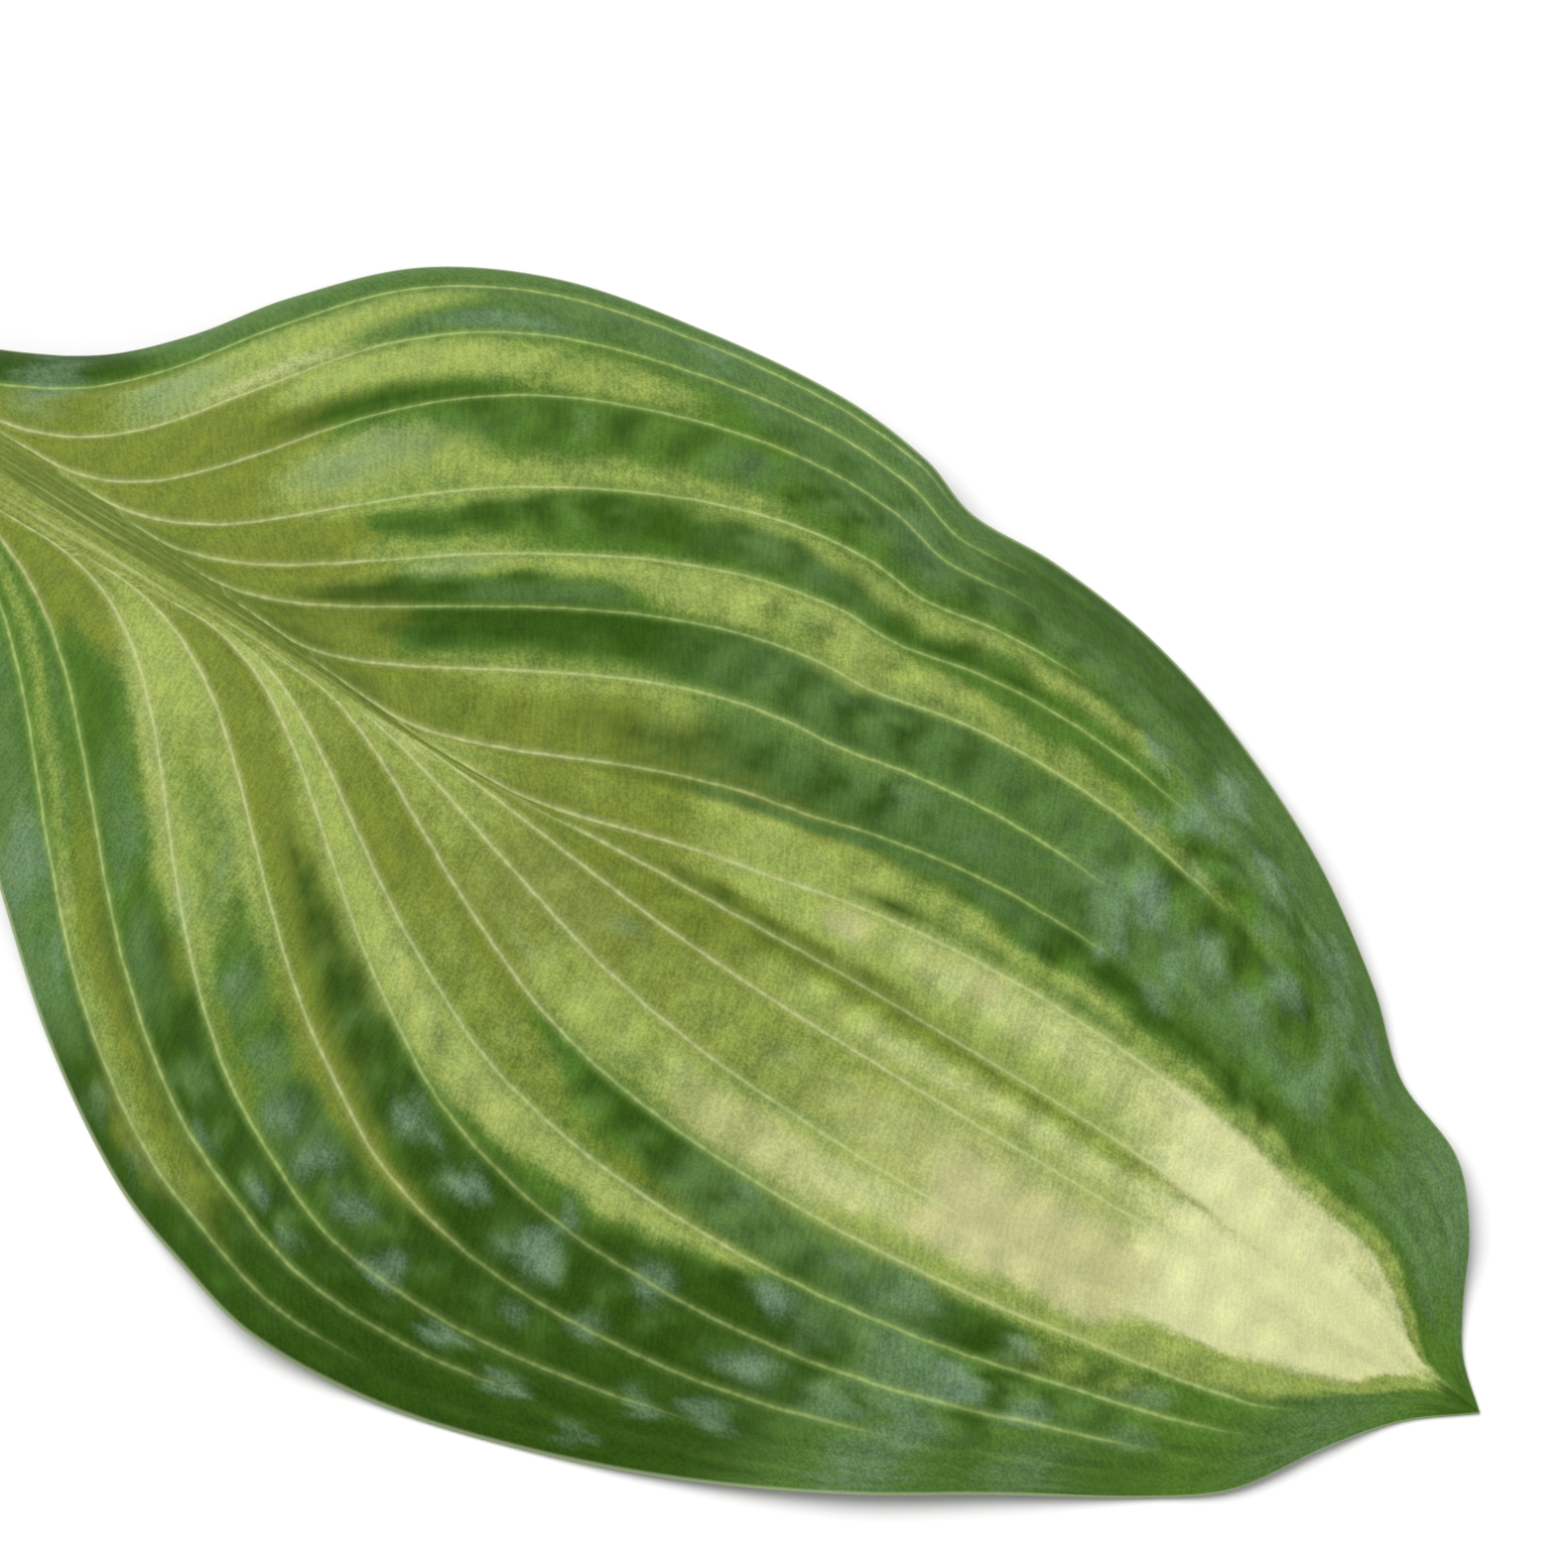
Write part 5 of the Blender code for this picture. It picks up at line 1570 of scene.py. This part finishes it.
@dataclass(frozen=True)
class CutFinish:
    """Finish of the petiole's cut end: pale moist flesh with darker strands.

    Attributes:
        name: Name of the material.
        flesh: Colour of the flesh.
        strand: Colour of the strands' ends.
        shade: Brightness of the flesh in its darker clouds.
        strands: Strands to a metre.
        clouds: Clouds to a metre.
        strand_share: How strongly the strands show.
        roughness: Roughness of the moist flesh.
        relief: Strength of the relief.
        relief_depth: Its depth in metres.
    """

    name: str = "cut_petiole_flesh"
    flesh: Colour = linear(196, 204, 140)
    strand: Colour = linear(128, 140, 70)
    shade: float = 0.8
    strands: float = 900.0
    clouds: float = 600.0
    strand_share: float = 0.75
    roughness: float = 0.38
    relief: float = 0.5
    relief_depth: float = 0.0002

    def make(self) -> bpy.types.Material:
        """Build the material.

        Returns:
            The material.
        """
        material, sheet = start_material(self.name)
        place = sheet.add("ShaderNodeTexCoord").outputs["Object"]
        cells = sheet.add("ShaderNodeTexVoronoi", {"Vector": place, "Scale": self.strands, "Randomness": 0.8})
        spots = sheet.step(cells.outputs["Distance"], 0.22, 0.36, 1.0, 0.0)
        cloud = sheet.noise(place, self.clouds, 3.0)
        base = sheet.mix(cloud, darker(self.flesh, self.shade), self.flesh)
        colour = sheet.mix(sheet.times(spots, self.strand_share), base, self.strand)
        lay_surface(sheet, sheet.sum("SUBTRACT", cloud, spots), self.relief, self.relief_depth,
                    {"Base Color": colour, "Roughness": self.roughness})
        return material


UPPER_SIDE = TissueFinish(
    name="leaf_upper_side", green=linear(80, 118, 38),
    tones=((Tone.OLIVE, linear(113, 128, 46)), (Tone.LIME, linear(151, 168, 86)),
           (Tone.BEIGE, linear(192, 191, 136)), (Tone.CREAM, linear(215, 218, 160)),
           # Besides their tissue, blue also serves as painted sheen on crests and deep as painted shade in hollows;
           # the last tone is a waxy coat with painted sheen
           (Tone.BLUE, linear(85, 117, 61)), (Tone.DEEP, linear(46, 78, 8)),
           (Tone.BLOOM, linear(114, 142, 112))),
    vein=linear(180, 204, 118), vein_in_olive=linear(204, 208, 148), vein_in_cream=linear(212, 218, 158),
    strand=linear(106, 100, 56), line_width=0.52, line_share=0.68, roughness=0.52, grain=0.075, relief=0.5)

UNDERSIDE = TissueFinish(
    name="leaf_underside", green=linear(126, 148, 98),
    tones=((Tone.OLIVE, linear(158, 168, 112)), (Tone.LIME, linear(176, 188, 126)),
           (Tone.BEIGE, linear(206, 204, 160)), (Tone.CREAM, linear(214, 217, 172)),
           # Besides their tissue, blue also serves as painted sheen on crests and deep as painted shade in hollows;
           # the last tone is a waxy coat with painted sheen
           (Tone.BLUE, linear(124, 148, 112)), (Tone.DEEP, linear(104, 130, 80)),
           (Tone.BLOOM, linear(150, 170, 140))),
    vein=linear(186, 204, 142), vein_in_olive=linear(200, 206, 156), vein_in_cream=linear(200, 204, 152),
    strand=linear(140, 144, 96), line_width=0.9, line_share=0.7, roughness=0.6, grain=0.04, relief=0.4)


@dataclass
class Studio:
    """Pale floor, soft light and the camera.

    Attributes:
        azimuth: Turn of the camera in degrees.
        elevation: Height of the camera in degrees.
        distance: Distance of the camera from its target, in metres.
        lens: Focal length in millimetres, for a frame 36 wide.
        target: Point that the camera looks at, in metres.
        floor_size: Side of the floor in metres.
        floor_colour: Colour of the floor.
        floor_roughness: Roughness of the floor.
        floor_sheen: How strong its highlights are.
        key_strength: Strength of the main light.
        key_softness: Width of the main light in degrees.
        key_left: How far the light stands to the left, for each metre of its height.
        key_back: How far it stands behind the leaf, likewise.
        sky_strength: Strength of the even light from all round.
    """

    azimuth: float = 34.0
    elevation: float = 65.0
    distance: float = 1.0
    lens: float = 180.0
    target: Point = (0.05985, 0.02532, 0.0)
    floor_size: float = 6.0
    floor_colour: Colour = linear(248, 248, 248)
    floor_roughness: float = 0.9
    floor_sheen: float = 0.1
    key_strength: float = 2.1
    key_softness: float = 55.0
    key_left: float = 0.5
    key_back: float = 0.36
    sky_strength: float = 0.58

    def directions(self) -> tuple[Vector, Vector, Vector]:
        """The camera's own directions.

        Returns:
            To its right, up and forward.
        """
        turn, tilt = math.radians(self.azimuth), math.radians(self.elevation)
        forward = Vector((-math.sin(turn) * math.cos(tilt), math.cos(turn) * math.cos(tilt), -math.sin(tilt)))
        right = Vector((math.cos(turn), math.sin(turn), 0.0))
        return right, right.cross(forward), forward

    def build(self) -> None:
        """Set up the floor, the lights and the camera."""
        self.lay_floor()
        self.hang_lights()
        self.place_camera()

    def lay_floor(self) -> None:
        """Lay the plain floor that the leaf rests on."""
        bpy.ops.object.select_all(action="DESELECT")
        bpy.ops.mesh.primitive_plane_add(size=self.floor_size, location=(0.0, 0.0, 0.0))
        floor = bpy.context.active_object
        floor.name = "studio_floor"
        material = bpy.data.materials.new("studio_paper")
        material.use_nodes = True
        surface = material.node_tree.nodes["Principled BSDF"]
        surface.inputs["Base Color"].default_value = self.floor_colour
        surface.inputs["Roughness"].default_value = self.floor_roughness
        surface.inputs["Specular IOR Level"].default_value = self.floor_sheen
        floor.data.materials.append(material)

    def hang_lights(self) -> None:
        """Hang one broad soft light at the back left, over an even pale sky."""
        world = bpy.data.worlds.new("studio_sky")
        bpy.context.scene.world = world
        world.use_nodes = True
        sky = world.node_tree.nodes["Background"]
        sky.inputs["Color"].default_value = (1.0, 1.0, 1.0, 1.0)
        sky.inputs["Strength"].default_value = self.sky_strength
        right, _, forward = self.directions()
        ahead = Vector((forward.x, forward.y, 0.0)).normalized()
        away = Vector((0.0, 0.0, 1.0)) - self.key_left * right + self.key_back * ahead
        lamp = bpy.data.lights.new("key_light", "SUN")
        lamp.energy = self.key_strength
        lamp.angle = math.radians(self.key_softness)
        key = bpy.data.objects.new("key_light", lamp)
        bpy.context.collection.objects.link(key)
        key.location = Vector(self.target) + away
        key.rotation_euler = (-away).to_track_quat("-Z", "Y").to_euler()

    def place_camera(self) -> None:
        """Place the camera at the photograph's viewing angle."""
        right, up, forward = self.directions()
        lens = bpy.data.cameras.new("camera")
        lens.sensor_fit = "HORIZONTAL"
        lens.sensor_width = 36.0
        lens.lens = self.lens
        camera = bpy.data.objects.new("camera", lens)
        bpy.context.collection.objects.link(camera)
        turn = Matrix((right, up, -forward)).transposed()
        camera.matrix_world = Matrix.Translation(Vector(self.target) - self.distance * forward) @ turn.to_4x4()
        bpy.context.scene.camera = camera
        bpy.context.scene.view_settings.view_transform = "Standard"


def dress(leaf: Piece) -> None:
    """Give the leaf its finishes.

    Args:
        leaf: The modelled leaf.
    """
    effects = LeafEffects()
    for material in (UPPER_SIDE.make(effects), UNDERSIDE.make(effects), CutFinish().make()):
        leaf.data.materials.append(material)


def main() -> None:
    """Build the leaf and its studio."""
    logging.basicConfig(level=logging.INFO, format="%(message)s")
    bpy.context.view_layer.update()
    build = HostaLeaf()
    leaf = build.build()
    dress(leaf)
    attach(leaf, "root")
    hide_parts(build.node)
    LOG.info("%s: %d faces, stands for %s", leaf.name, len(leaf.data.polygons), build.node)
    Studio().build()


if __name__ == "__main__":
    main()
